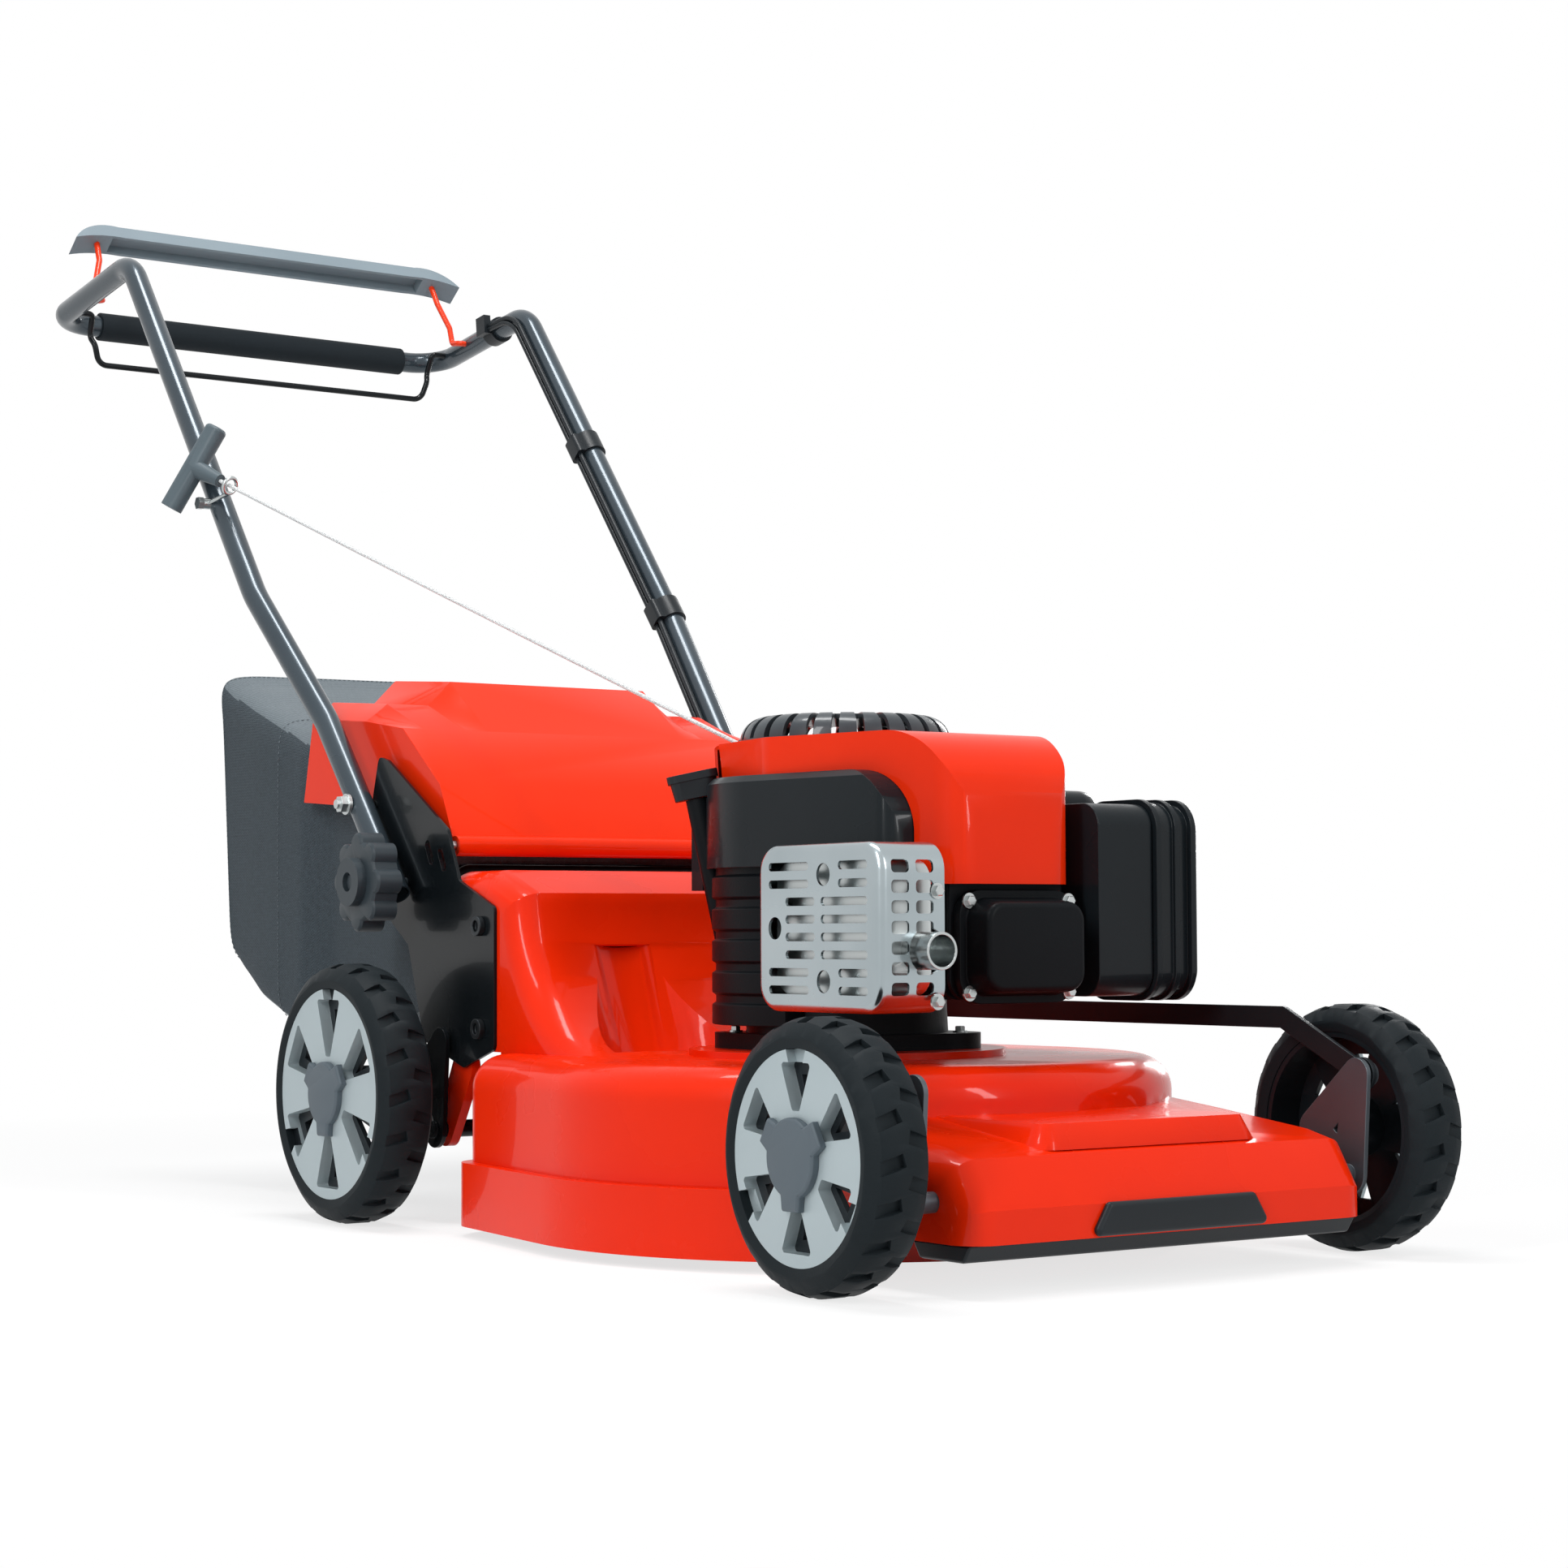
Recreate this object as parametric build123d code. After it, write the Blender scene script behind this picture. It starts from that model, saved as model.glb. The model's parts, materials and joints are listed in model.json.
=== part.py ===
import os
from math import atan2, cos, degrees, radians, sin

from build123d import *

# Walk-behind rotary mower with a rear collector. Millimetres, +X forward, +Y to the operator's left, +Z up.
# The pieces are drawn from a datum on the ground below the rear axle and moved at the end,
# so that the origin is the middle of the footprint on the ground.

# Running gear
FRONT_WHEEL_R = 90.0
REAR_WHEEL_R = 105.0
WHEELBASE = 637.0
FRONT_WHEEL_SET = 67.0           # outer tyre wall beyond the inner face of the arms
REAR_WHEEL_SET = 84.0
TYRE_W = 48.0
TYRE_H = 20.0                    # rubber seen outside the disc
LUG_DEPTH = 4.0
LUG_COUNT = 20
GROOVE_W = 9.0
GROOVE_SLANT = 18.0
AXLE_R = 6.0
RUN_CLEARANCE = 0.05             # radial, shaft in hole
SEAT_GAP = 0.1                   # rim in tyre
SPOKE_COUNT = 6
HUB_R = 22.0
CAP_R = 26.0
CAP_H = 6.0

# Height adjustment: two cranked arms on each cross rod, joined by a link on the left
ARM_REACH = (-35.0, 30.0)        # from the cross rod to the wheel axle
LINK_REACH = (8.0, 71.0)         # from the cross rod to the link bolt
ROD_R = 7.0
ARM_T = 4.0
ARM_GAP = 3.0                    # between side bracket and arm plate
NOSE_ARM_GAP = 12.0              # between nose and arm plate
LINK_T = 4.0
LINK_GAP = 2.0                   # between arm plate and link
LINK_H = 16.0
LINK_Z = 170.0                   # middle of the straight run
LINK_BOLT_R = 4.0
OPEN_PIVOT_R = 6.5               # loose eye at the rear end of the link
LEVER_REACH = 160.0              # from the rear cross rod to the knob of the lever
LEVER_TILT = 76.0

# Deck
SKIRT_R = 258.0                  # lower band, round the blade
WALL_R = 248.0                   # upper wall
SKIRT_Z = 8.0
STEP_Z = 57.0
DECK_Z = 140.0
PAD_Z = 145.0                    # engine seat
PAD_R = 122.0
CRANK_X = 333.0
SHEET = 3.0
SHOULDER_R = 26.0
DECK_REAR_X = 128.0
DECK_REAR_HALF = 230.0
DECK_CORNER_R = 36.0
TOWER_REAR_X = 42.0
TOWER_FLOOR_Z = 140.0
TOWER_TOP_Z = 285.0
TOWER_FRONT = (150.0, 266.0)     # front upper edge of the rear tower
TOWER_FOOT_X = 262.0
TOWER_EDGE_R = 24.0
FLUTE_Y = 96.0
FLUTE_R = 62.0
FLUTE_OUT = 60.0                 # axis of a flute in front of the tower's upper edge
NOSE_HALF = 178.0
NOSE_FRONT_X = 711.0
NOSE_Z = 34.0
NOSE_TOP_Z = 94.0
NOSE_BACK_X = 470.0
NOSE_EDGE_R = 22.0
NOSE_PANEL = (150.0, 200.0)      # raised panel: along, across
NOSE_PANEL_X = 612.0
NOSE_PANEL_H = 13.0
BUMPER_HALF = 79.0
BUMPER_TOP_HALF = 65.0
BUMPER_Z = (35.0, 57.0)
BUMPER_T = 5.0

# Side brackets and handle
BRACKET_T = 3.0
KNOB_AXIS = (-28.0, 277.0)       # x, z of the fold axis
KNOB_R = 40.0
KNOB_LOBES = 8
KNOB_W = 34.0
STUD_R = 4.0
TUBE_R = 11.0
TUBE_WALL = 1.5
FOOT_GAP = 1.5                   # between bracket and handle foot
HANDLE_SPLAY = 17.5              # each tube stands out this much above its foot
HANDLE_FOOT = (-150.0, 417.0)
HANDLE_KNEE = (-262.0, 538.0)
HANDLE_TOP = (-553.0, 893.0)
GRIP_BAR = (-753.0, 870.0)
SLEEVE_R = 14.5
SLEEVE_SET = 47.0                # end of the sleeve inside the tube's middle plane
STOP_BOLT = (-88.0, 344.0)
STOP_BOLT_R = 4.0

# Bails
BAIL_PIVOT = (-668.0, 879.8)
BAIL_BAR = (-718.0, 954.0)
BAIL_SET = 1.0                   # end of the blade inside the tube's middle plane
BAIL_W = 26.0
BAIL_H = 15.0
WIRE_R = 3.0
DRIVE_PIVOT = (-716.0, 874.3)
DRIVE_BAR = (-724.0, 824.0)
DRIVE_SET = 36.0                 # end of the lower bar inside the tube's middle plane

# Starter
RECOIL_EXIT = (250.0, -42.0, 382.0)
ROPE_EYE = (-304.0, -229.0, 642.0)
ROPE_R = 1.75
GRIP_STEM = 44.0
GRIP_BAR_LEN = 86.0
GUIDE_BOLT = (-338.0, 629.0)

# Rear flap and collector
FLAP_HALF = 182.0
FLAP_SIDE_GAP = 8.0              # flap to side bracket, with room for the cables
FLAP_HINGE = (37.0, 306.0)
FLAP_PIN_R = 4.0
FLAP_T = 3.5
FLAP_REAR = (-228.0, 442.0)
FLAP_HUMP = 108.0                # half width of the raised middle
BAG_SIDE_GAP = 12.5               # bag to the inside of the flap
BAG_TUBE_GAP = 6.5                # wide rear of the bag to the handle tubes
BAG_REAR_X = -258.0
BAG_FRONT_X = -14.0
BAG_WALL = 3.0

# Engine
CASE_R = 78.0
FLANGE_T = 12.0
SHROUD_R = 108.0
SHROUD_Z = (283.0, 352.0)
SHROUD_FRONT_X = 500.0
HOOD_TOP_Z = 380.0
HOOD_FRONT_X = 538.0
APRON_Z = 268.0
ARCH_R = 46.0                    # round of the blower housing's front
HOOD_ARCH_R = 64.0
HOOD_GAP = 1.0
RECOIL_R = 82.0
RECOIL_TOP_Z = 400.0
RECOIL_WALL = 4.0
RECOIL_SLOTS = 26
RECOIL_SLOT = (36.0, 6.0)        # length, width
MUFFLER_BOX = ((434.0, 582.0), (-152.0, -97.0), (178.0, 296.0))
OUTLET_R = 13.0
OUTLET_BORE_R = 11.0
OUTLET_LEN = 30.0
FILTER_BOX = ((470.0, 545.0), (74.0, 176.0), (186.0, 328.0))
TANK_CAP = (395.0, 118.0)
CAP_TOP_Z = 381.0
FILLER_FOOT = (275.0, -62.0, 185.0)
FILLER_TOP = (257.0, -88.0, 338.0)
FILLER_R = 9.0
BLADE_R = 236.0
BLADE_W = 52.0
BLADE_T = 4.0
BLADE_Z = 28.0
SHAFT_R = 12.5
PULLEY_R = 30.0
BELT_Z = 118.0
BELT_H = 9.0

REAR_AXLE = (0.0, REAR_WHEEL_R)
FRONT_AXLE = (WHEELBASE, FRONT_WHEEL_R)
REAR_ROD = (REAR_AXLE[0] - ARM_REACH[0], REAR_AXLE[1] - ARM_REACH[1])
FRONT_ROD = (FRONT_AXLE[0] - ARM_REACH[0], FRONT_AXLE[1] - ARM_REACH[1])
REAR_LINK_BOLT = (REAR_ROD[0] + LINK_REACH[0], REAR_ROD[1] + LINK_REACH[1])
FRONT_LINK_BOLT = (FRONT_ROD[0] + LINK_REACH[0], FRONT_ROD[1] + LINK_REACH[1])
TOWER_HALF = FLAP_HALF + FLAP_SIDE_GAP
BRACKET_Y = TOWER_HALF
ARM_Y = max(BRACKET_Y + BRACKET_T + ARM_GAP, NOSE_HALF + NOSE_ARM_GAP)
LINK_Y = ARM_Y + ARM_T + LINK_GAP
FRONT_WHEEL_OUT_Y = ARM_Y + FRONT_WHEEL_SET
REAR_WHEEL_OUT_Y = ARM_Y + REAR_WHEEL_SET
FOOT_Y = BRACKET_Y + BRACKET_T + FOOT_GAP + TUBE_R
HANDLE_Y = FOOT_Y + HANDLE_SPLAY
SLEEVE_HALF = HANDLE_Y - SLEEVE_SET
BAIL_HALF = HANDLE_Y - BAIL_SET
DRIVE_HALF = HANDLE_Y - DRIVE_SET
BAG_HALF = FLAP_HALF - FLAP_T - BAG_SIDE_GAP
BAG_REAR_HALF = FOOT_Y - TUBE_R - BAG_TUBE_GAP


def facing(y_low, thickness):
    """Plane on which a side outline in x and z is drawn, for a plate from y_low upwards."""
    return Plane((0, y_low + thickness, 0), x_dir=(1, 0, 0), z_dir=(0, -1, 0))


def plate(outline, y_low, thickness):
    return extrude(facing(y_low, thickness) * outline, thickness, dir=(0, -1, 0))


def rod_y(x, z, y_low, y_high, radius):
    return Pos(x, (y_low + y_high) / 2, z) * Rot(X=90) * Cylinder(radius, y_high - y_low)


def rod_between(start, end, radius):
    start, end = Vector(*start), Vector(*end)
    plane = Plane(origin=start, z_dir=end - start)
    return extrude(plane * Circle(radius), (end - start).length)


def wire(points, bends, radius, bore=0):
    path = FilletPolyline(*points, radius=bends)
    section = Circle(radius) - Circle(bore) if bore else Circle(radius)
    return sweep(Plane(origin=path @ 0, z_dir=path % 0) * section, path=path)


def block(x, y, z):
    """Box from ranges."""
    size = [high - low for low, high in (x, y, z)]
    middle = [(high + low) / 2 for low, high in (x, y, z)]
    return Pos(*middle) * Box(*size)


def both_sides(shape):
    return [shape, mirror(shape, Plane.XZ)]


def hull_plate(circles, y_low, thickness):
    """Plate that wraps round a chain of circles, each an (x, z, radius)."""
    outline = Sketch()
    for (x0, z0, r0), (x1, z1, r1) in zip(circles, circles[1:]):
        discs = Pos(x0, z0) * Circle(r0) + Pos(x1, z1) * Circle(r1)
        outline += make_hull(discs.edges())
    return plate(outline, y_low, thickness)


# Wheels, drawn with the axle on Z and the outer side up

def tyre_solid(radius):
    rim = radius - TYRE_H
    half = [(rim, 2), (rim + 6, 0), (radius - 12, 0), (radius - 3, 6), (radius, 15)]
    profile = half + [(r, TYRE_W - z) for r, z in reversed(half)]
    tyre = revolve(Plane.XZ * Polygon(*profile, align=None), Axis.Z)
    pitch = 360 / LUG_COUNT
    for side, start in ((0, pitch / 2), (1, 0)):
        z = TYRE_W * (0.25 + 0.5 * side)
        slant = GROOVE_SLANT if side else -GROOVE_SLANT
        groove = Rot(X=slant) * Box(2 * LUG_DEPTH, GROOVE_W, TYRE_W * 0.42)
        tyre -= Pos(Z=z) * PolarLocations(radius, LUG_COUNT, start_angle=start) * groove
    return tyre


def disc_solid(radius):
    rim = radius - TYRE_H - SEAT_GAP
    face = TYRE_W - 2
    web = 14.0
    pocket_in, pocket_out = HUB_R + 8, rim - 9
    disc = Pos(Z=face - web / 2) * Cylinder(rim, web)
    disc += Pos(Z=TYRE_W / 2) * (Cylinder(rim, TYRE_W - 6) - Cylinder(rim - 4, TYRE_W - 6))
    disc += Pos(Z=TYRE_W / 2 - 1) * Cylinder(HUB_R, TYRE_W - 2)
    pocket = Polygon((pocket_in, -4), (pocket_out, -rim * 0.24), (pocket_out, rim * 0.24), (pocket_in, 4), align=None)
    pocket = fillet(pocket.vertices(), 2.5)
    hole = Polygon((pocket_in + 4, 0), (pocket_out - 8, -rim * 0.10), (pocket_out - 8, rim * 0.10), align=None)
    spokes = PolarLocations(0, SPOKE_COUNT, start_angle=30)
    disc -= Pos(Z=face - web + 4) * extrude(Sketch() + spokes * pocket, web)
    disc -= extrude(Sketch() + spokes * hole, TYRE_W)
    notch = Polygon((rim - 9, -8), (rim + 2, -12), (rim + 2, 12), (rim - 9, 8), align=None)
    disc -= Pos(Z=face - 7) * extrude(Sketch() + PolarLocations(0, 3, start_angle=90) * notch, 8)
    return disc - Pos(Z=TYRE_W / 2) * Cylinder(AXLE_R + RUN_CLEARANCE, 2 * TYRE_W)


def cap_solid():
    lobe = Polygon((0, -13), (CAP_R + 8, -9), (CAP_R + 8, 9), (0, 13), align=None)
    outline = Circle(CAP_R) + PolarLocations(0, 3, start_angle=30) * lobe
    cap = Pos(Z=TYRE_W - 2) * extrude(outline, CAP_H)
    top = cap.faces().sort_by(Axis.Z)[-1]
    return chamfer(top.edges(), 1.5)


def wheel_pair(axle, radius, out_y):
    """Tyre, disc and hub cap of the right wheel, and the same mirrored to the left."""
    place = Pos(axle[0], TYRE_W - out_y, axle[1]) * Rot(X=90)
    right = [place * shape for shape in (tyre_solid(radius), disc_solid(radius), cap_solid())]
    return {"right": right, "left": [mirror(shape, Plane.XZ) for shape in right]}


# Height adjustment

def arm(side, rod, axle, link_bolt):
    low = ARM_Y if side > 0 else -ARM_Y - ARM_T
    reach = (link_bolt[0], link_bolt[1], 12.0)
    shape = hull_plate([(axle[0], axle[1], 14.0), (rod[0], rod[1], 15.0), reach], low, ARM_T)
    shape += hull_plate([reach, (axle[0], axle[1], 14.0)], low, ARM_T)
    return shape


def front_arms():
    """Welded front axle: cross rod, two arms, stub axles and the link bolt."""
    axle_end = FRONT_WHEEL_OUT_Y - 4
    body = rod_y(*FRONT_ROD, -ARM_Y - ARM_T - 3, ARM_Y + ARM_T + 1, ROD_R)
    for side in (1, -1):
        body += arm(side, FRONT_ROD, FRONT_AXLE, FRONT_LINK_BOLT)
        low, high = sorted((side * ARM_Y, side * axle_end))
        body += rod_y(*FRONT_AXLE, low, high, AXLE_R)
    bolt_high = LINK_Y + LINK_T + 5
    body += rod_y(*FRONT_LINK_BOLT, ARM_Y + ARM_T, bolt_high, LINK_BOLT_R)
    return body + rod_y(*FRONT_LINK_BOLT, LINK_Y + LINK_T + 0.5, bolt_high, LINK_BOLT_R + 5)


def rear_arms():
    """Welded rear arms on their cross rod, with the bolt for the loose eye of the link."""
    body = rod_y(*REAR_ROD, -ARM_Y - ARM_T - 3, LEVER_Y, ROD_R)
    for side in (1, -1):
        body += arm(side, REAR_ROD, REAR_AXLE, REAR_LINK_BOLT)
    body += rod_y(*REAR_LINK_BOLT, ARM_Y + ARM_T, LINK_Y + LINK_T + 2, LINK_BOLT_R)
    return body - rod_y(*REAR_AXLE, -2 * ARM_Y, 2 * ARM_Y, AXLE_R)


def drive_axle():
    axle_end = REAR_WHEEL_OUT_Y - 4
    return rod_y(*REAR_AXLE, -axle_end, axle_end, AXLE_R)


def gearbox():
    case = Rot(X=90) * Cylinder(32, 70) + Pos(14, 0, 0) * Box(62, 62, 44)
    return Pos(REAR_AXLE[0], 0, REAR_AXLE[1]) * (case - Rot(X=90) * Cylinder(AXLE_R, 80))


LEVER_Y = LINK_Y + LINK_T + 3


def lever_top():
    return (REAR_ROD[0] + LEVER_REACH * cos(radians(LEVER_TILT)), REAR_ROD[1] + LEVER_REACH * sin(radians(LEVER_TILT)))


def height_lever():
    top = lever_top()
    bar = hull_plate([(*REAR_ROD, 13.0), (*top, 8.0)], LEVER_Y, 4)
    knob_low = LEVER_Y + 4
    knob = rod_y(*top, knob_low, knob_low + 26, 11)
    knob = fillet(knob.edges().filter_by(GeomType.CIRCLE), 3)
    return {"height_lever": bar, "height_lever_knob": knob}


def height_link():
    """Flat bar with dropped ends; the rear eye is loose."""
    drop = 80.0
    front, rear = FRONT_LINK_BOLT, REAR_LINK_BOLT
    points = [(rear[0], rear[1]), (rear[0] + drop, LINK_Z), (front[0] - drop, LINK_Z), (front[0], front[1])]
    outline = Sketch()
    for (x0, z0), (x1, z1) in zip(points, points[1:]):
        discs = Pos(x0, z0) * Circle(LINK_H / 2) + Pos(x1, z1) * Circle(LINK_H / 2)
        outline += make_hull(discs.edges())
    outline += Pos(*rear) * Circle(OPEN_PIVOT_R + 6)
    outline += Pos(*front) * Circle(LINK_BOLT_R + 8)
    outline -= Pos(*rear) * Circle(OPEN_PIVOT_R)
    outline -= Pos(*front) * Circle(LINK_BOLT_R + RUN_CLEARANCE)
    return plate(outline, LINK_Y, LINK_T)


# Deck

def round_plan(radius, rear_half, inset):
    """Plan of the blade housing: round in front, drawn out to a straight rear edge."""
    corner = DECK_CORNER_R
    discs = Pos(CRANK_X, 0) * Circle(radius - inset)
    for side in (-1, 1):
        discs += Pos(DECK_REAR_X + corner, side * (rear_half - corner)) * Circle(corner - inset)
    return make_hull(discs.edges())


def tower_profile(inset):
    front_x, front_z = TOWER_FRONT
    sweep_mid = (front_x + 30 - inset, PAD_Z + 42 - inset)
    floor = TOWER_FLOOR_Z + inset
    edge = [
        Line((TOWER_REAR_X, floor), (TOWER_REAR_X, TOWER_TOP_Z - inset)),
        Line((TOWER_REAR_X, TOWER_TOP_Z - inset), (front_x - 52, TOWER_TOP_Z - inset)),
        Line((front_x - 52, TOWER_TOP_Z - inset), (front_x - inset, front_z - inset)),
        ThreePointArc((front_x - inset, front_z - inset), sweep_mid, (TOWER_FOOT_X - inset, DECK_Z - inset)),
        Line((TOWER_FOOT_X - inset, DECK_Z - inset), (TOWER_FOOT_X - inset, DECK_Z - 2 * SHEET - 1)),
        Line((TOWER_FOOT_X - inset, DECK_Z - 2 * SHEET - 1), (DECK_REAR_X + inset, DECK_Z - 2 * SHEET - 1)),
        Line((DECK_REAR_X + inset, DECK_Z - 2 * SHEET - 1), (DECK_REAR_X + inset, floor)),
        Line((DECK_REAR_X + inset, floor), (TOWER_REAR_X, floor)),
    ]
    return make_face(edge)


def nose_profile(inset):
    """Side outline of the nose: low, with a leaning front and a gently rising top."""
    points = [
        (NOSE_BACK_X, NOSE_Z - inset),
        (NOSE_FRONT_X - inset, NOSE_Z - inset),
        (NOSE_FRONT_X - inset, NOSE_Z + 22),
        (NOSE_FRONT_X - 20 - inset, NOSE_TOP_Z - 6 - inset),
        (NOSE_FRONT_X - 45, NOSE_TOP_Z - inset),
        (NOSE_FRONT_X - 130, NOSE_TOP_Z + 10 - inset),
        (NOSE_BACK_X, NOSE_TOP_Z + 22 - inset),
    ]
    return Polygon(*points, align=None)


def side_edges(shape, half, low_z, back_x):
    """Edges along both sides of a form, above and in front of the given place."""
    edges = [edge for edge in shape.edges() if abs(abs(edge.center().Y) - half) < 0.01]
    return [edge for edge in edges if edge.center().Z > low_z and edge.center().X > back_x]


def tower_form(inset):
    """Rear tower with rounded shoulders and two upright flutes in its front."""
    half = TOWER_HALF - inset
    tower = plate(tower_profile(inset), -half, 2 * half)
    tower = fillet(side_edges(tower, half, DECK_Z + 20, TOWER_REAR_X + 5), TOWER_EDGE_R - inset)
    start = Vector(TOWER_FRONT[0] + FLUTE_OUT, 0, TOWER_FRONT[1] - 20)
    end = Vector(TOWER_FRONT[0] + FLUTE_OUT + 42, 0, DECK_Z + 4)
    for side in (-1, 1):
        y = Vector(0, side * FLUTE_Y, 0)
        tower -= rod_between(tuple(start + y), tuple(end + y), FLUTE_R + inset)
    return tower


def nose_form(inset):
    """Nose with rounded sides and a low raised panel on top."""
    half = NOSE_HALF - inset
    nose = plate(nose_profile(inset), -half, 2 * half)
    nose = fillet(side_edges(nose, half, NOSE_Z + 5, NOSE_BACK_X + 5), NOSE_EDGE_R - inset)
    length, width = NOSE_PANEL
    panel = Pos(NOSE_PANEL_X, 0, NOSE_TOP_Z - 4 - inset) * RectangleRounded(length - 2 * inset, width - 2 * inset, 18)
    return nose + extrude(panel, NOSE_PANEL_H + 4, taper=28)


def deck_form(inset):
    """Pressing of the deck; with an inset it is the space inside."""
    below = 5.0 if inset else 0.0
    low = SKIRT_Z - below
    ledge = SKIRT_R - WALL_R
    band = extrude(Pos(Z=low) * round_plan(SKIRT_R, DECK_REAR_HALF + ledge, inset), STEP_Z - inset - low)
    wall = extrude(Pos(Z=low) * round_plan(WALL_R, DECK_REAR_HALF, inset), DECK_Z - inset - low)
    rim = wall.faces().sort_by(Axis.Z)[-1].edges()
    wall = fillet(rim, SHOULDER_R - inset)
    return band + wall + tower_form(inset) + nose_form(inset)


def deck():
    body = deck_form(0) + Pos(CRANK_X, 0, (DECK_Z + PAD_Z) / 2) * Cylinder(PAD_R, PAD_Z - DECK_Z)
    body -= deck_form(SHEET)
    mouth = block((TOWER_REAR_X - 5, TOWER_REAR_X + 5), (-TOWER_HALF + 8, TOWER_HALF - 8),
                  (TOWER_FLOOR_Z + 8, TOWER_TOP_Z - 10))
    body -= mouth
    body -= Pos(CRANK_X, 0, PAD_Z) * Cylinder(SHAFT_R + 22, 40)
    body -= rod_y(*FRONT_ROD, -NOSE_HALF - 5, NOSE_HALF + 5, ROD_R + RUN_CLEARANCE)
    return body + rear_rod_ears()


def rear_rod_ears():
    """Hangers under the tower that carry the rear cross rod."""
    ear = hull_plate([(*REAR_ROD, 14.0), (REAR_ROD[0] + 30, TOWER_FLOOR_Z - 14, 16.0)], BRACKET_Y - 8, 8)
    ear -= rod_y(*REAR_ROD, 0, 2 * TOWER_HALF, ROD_R + RUN_CLEARANCE)
    return both_sides(ear)


def bumper():
    low, high = BUMPER_Z
    outline = Polygon((-BUMPER_HALF, low), (BUMPER_HALF, low), (BUMPER_TOP_HALF, high), (-BUMPER_TOP_HALF, high),
                      align=None)
    face = Plane((NOSE_FRONT_X, 0, 0), x_dir=(0, 1, 0), z_dir=(1, 0, 0)) * fillet(outline.vertices(), 4)
    pad = extrude(face, BUMPER_T)
    return chamfer(pad.faces().sort_by(Axis.X)[-1].edges(), 2)


def skid():
    """Rubber strip under the front edge of the nose."""
    points = [(NOSE_FRONT_X - 70, NOSE_Z), (NOSE_FRONT_X - 8, NOSE_Z), (NOSE_FRONT_X - 16, NOSE_Z - 12),
              (NOSE_FRONT_X - 62, NOSE_Z - 12)]
    return plate(Polygon(*points, align=None), -NOSE_HALF + 6, 2 * NOSE_HALF - 12)


# Side brackets, knobs and handle

def side_bracket():
    """Left stamped bracket: upright plate with a turned front edge."""
    knob_x, knob_z = KNOB_AXIS
    points = [
        (knob_x - 66, knob_z + 58), (knob_x - 50, knob_z + 108), (knob_x - 34, knob_z + 104),
        (knob_x + 72, knob_z + 42), (knob_x + 92, knob_z), (TOWER_REAR_X + 80, TOWER_TOP_Z - 30),
        (TOWER_REAR_X + 80, TOWER_FLOOR_Z + 2), (TOWER_REAR_X + 30, TOWER_FLOOR_Z - 14),
        (knob_x + 32, TOWER_FLOOR_Z + 6), (knob_x + 4, knob_z - 52), (knob_x - 34, knob_z - 28),
    ]
    outline = Polygon(*points, align=None)
    outline = fillet(outline.vertices(), 6)
    body = plate(outline, BRACKET_Y, BRACKET_T)
    body -= rod_y(*KNOB_AXIS, 0, 2 * BRACKET_Y, STUD_R + RUN_CLEARANCE)
    for x, z in bracket_bolt_places():
        body -= rod_y(x, z, 0, 2 * BRACKET_Y, 4.0)
    slot = hull_plate([(knob_x + 38, knob_z + 30, 4), (knob_x + 44, knob_z + 18, 4)], BRACKET_Y - 1, BRACKET_T + 2)
    return body - slot - Pos(22, 0, -6) * slot


def bracket_bolt_places():
    return [(TOWER_REAR_X + 58, TOWER_TOP_Z - 45), (TOWER_REAR_X + 58, TOWER_FLOOR_Z + 18)]


def bracket_bolts():
    shapes = []
    for x, z in bracket_bolt_places():
        head = BRACKET_Y + BRACKET_T
        bolt = rod_y(x, z, head, head + 5, 8) - rod_y(x, z, head + 2, head + 6, 4.5)
        shapes += both_sides(bolt)
    return shapes


def knob(side):
    """Lobed hand knob with its stud through the handle foot and the bracket."""
    inner = FOOT_Y + TUBE_R + 1
    angles = PolarLocations(KNOB_R - 9, KNOB_LOBES)
    outline = Circle(KNOB_R - 6) + angles * Circle(10)
    outline -= PolarLocations(KNOB_R + 3, KNOB_LOBES, start_angle=180 / KNOB_LOBES) * Circle(8)
    head = extrude(outline, KNOB_W - 12)
    head = chamfer(head.faces().sort_by(Axis.Z)[-1].edges(), 2)
    head += Pos(Z=KNOB_W - 12) * Cylinder(20, 8, align=(Align.CENTER, Align.CENTER, Align.MIN))
    head -= Pos(Z=KNOB_W - 10) * Cylinder(8, 10, align=(Align.CENTER, Align.CENTER, Align.MIN))
    head += Pos(Z=KNOB_W - 11) * extrude(RegularPolygon(6.5, 6), 4)
    stud_len = inner - BRACKET_Y + 4
    head += Pos(Z=-stud_len) * Cylinder(STUD_R, stud_len, align=(Align.CENTER, Align.CENTER, Align.MIN))
    shape = Pos(KNOB_AXIS[0], inner, KNOB_AXIS[1]) * Rot(X=-90) * head
    return shape if side > 0 else mirror(shape, Plane.XZ)


def foot_end():
    """Lower end of the tube, past the knob."""
    run = Vector(KNOB_AXIS[0] - HANDLE_FOOT[0], 0, KNOB_AXIS[1] - HANDLE_FOOT[1])
    return Vector(KNOB_AXIS[0], 0, KNOB_AXIS[1]) + run.normalized() * 14


HANDLE_BENDS = [150, 150, 42, 38, 38, 42, 150, 150]


def handle_points():
    end = foot_end()
    left = [
        (end.X, FOOT_Y, end.Z),
        (HANDLE_FOOT[0], FOOT_Y, HANDLE_FOOT[1]),
        (HANDLE_KNEE[0], HANDLE_Y, HANDLE_KNEE[1]),
        (HANDLE_TOP[0], HANDLE_Y, HANDLE_TOP[1]),
        (GRIP_BAR[0], HANDLE_Y, GRIP_BAR[1]),
    ]
    return left + [(x, -y, z) for x, y, z in reversed(left)]


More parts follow.
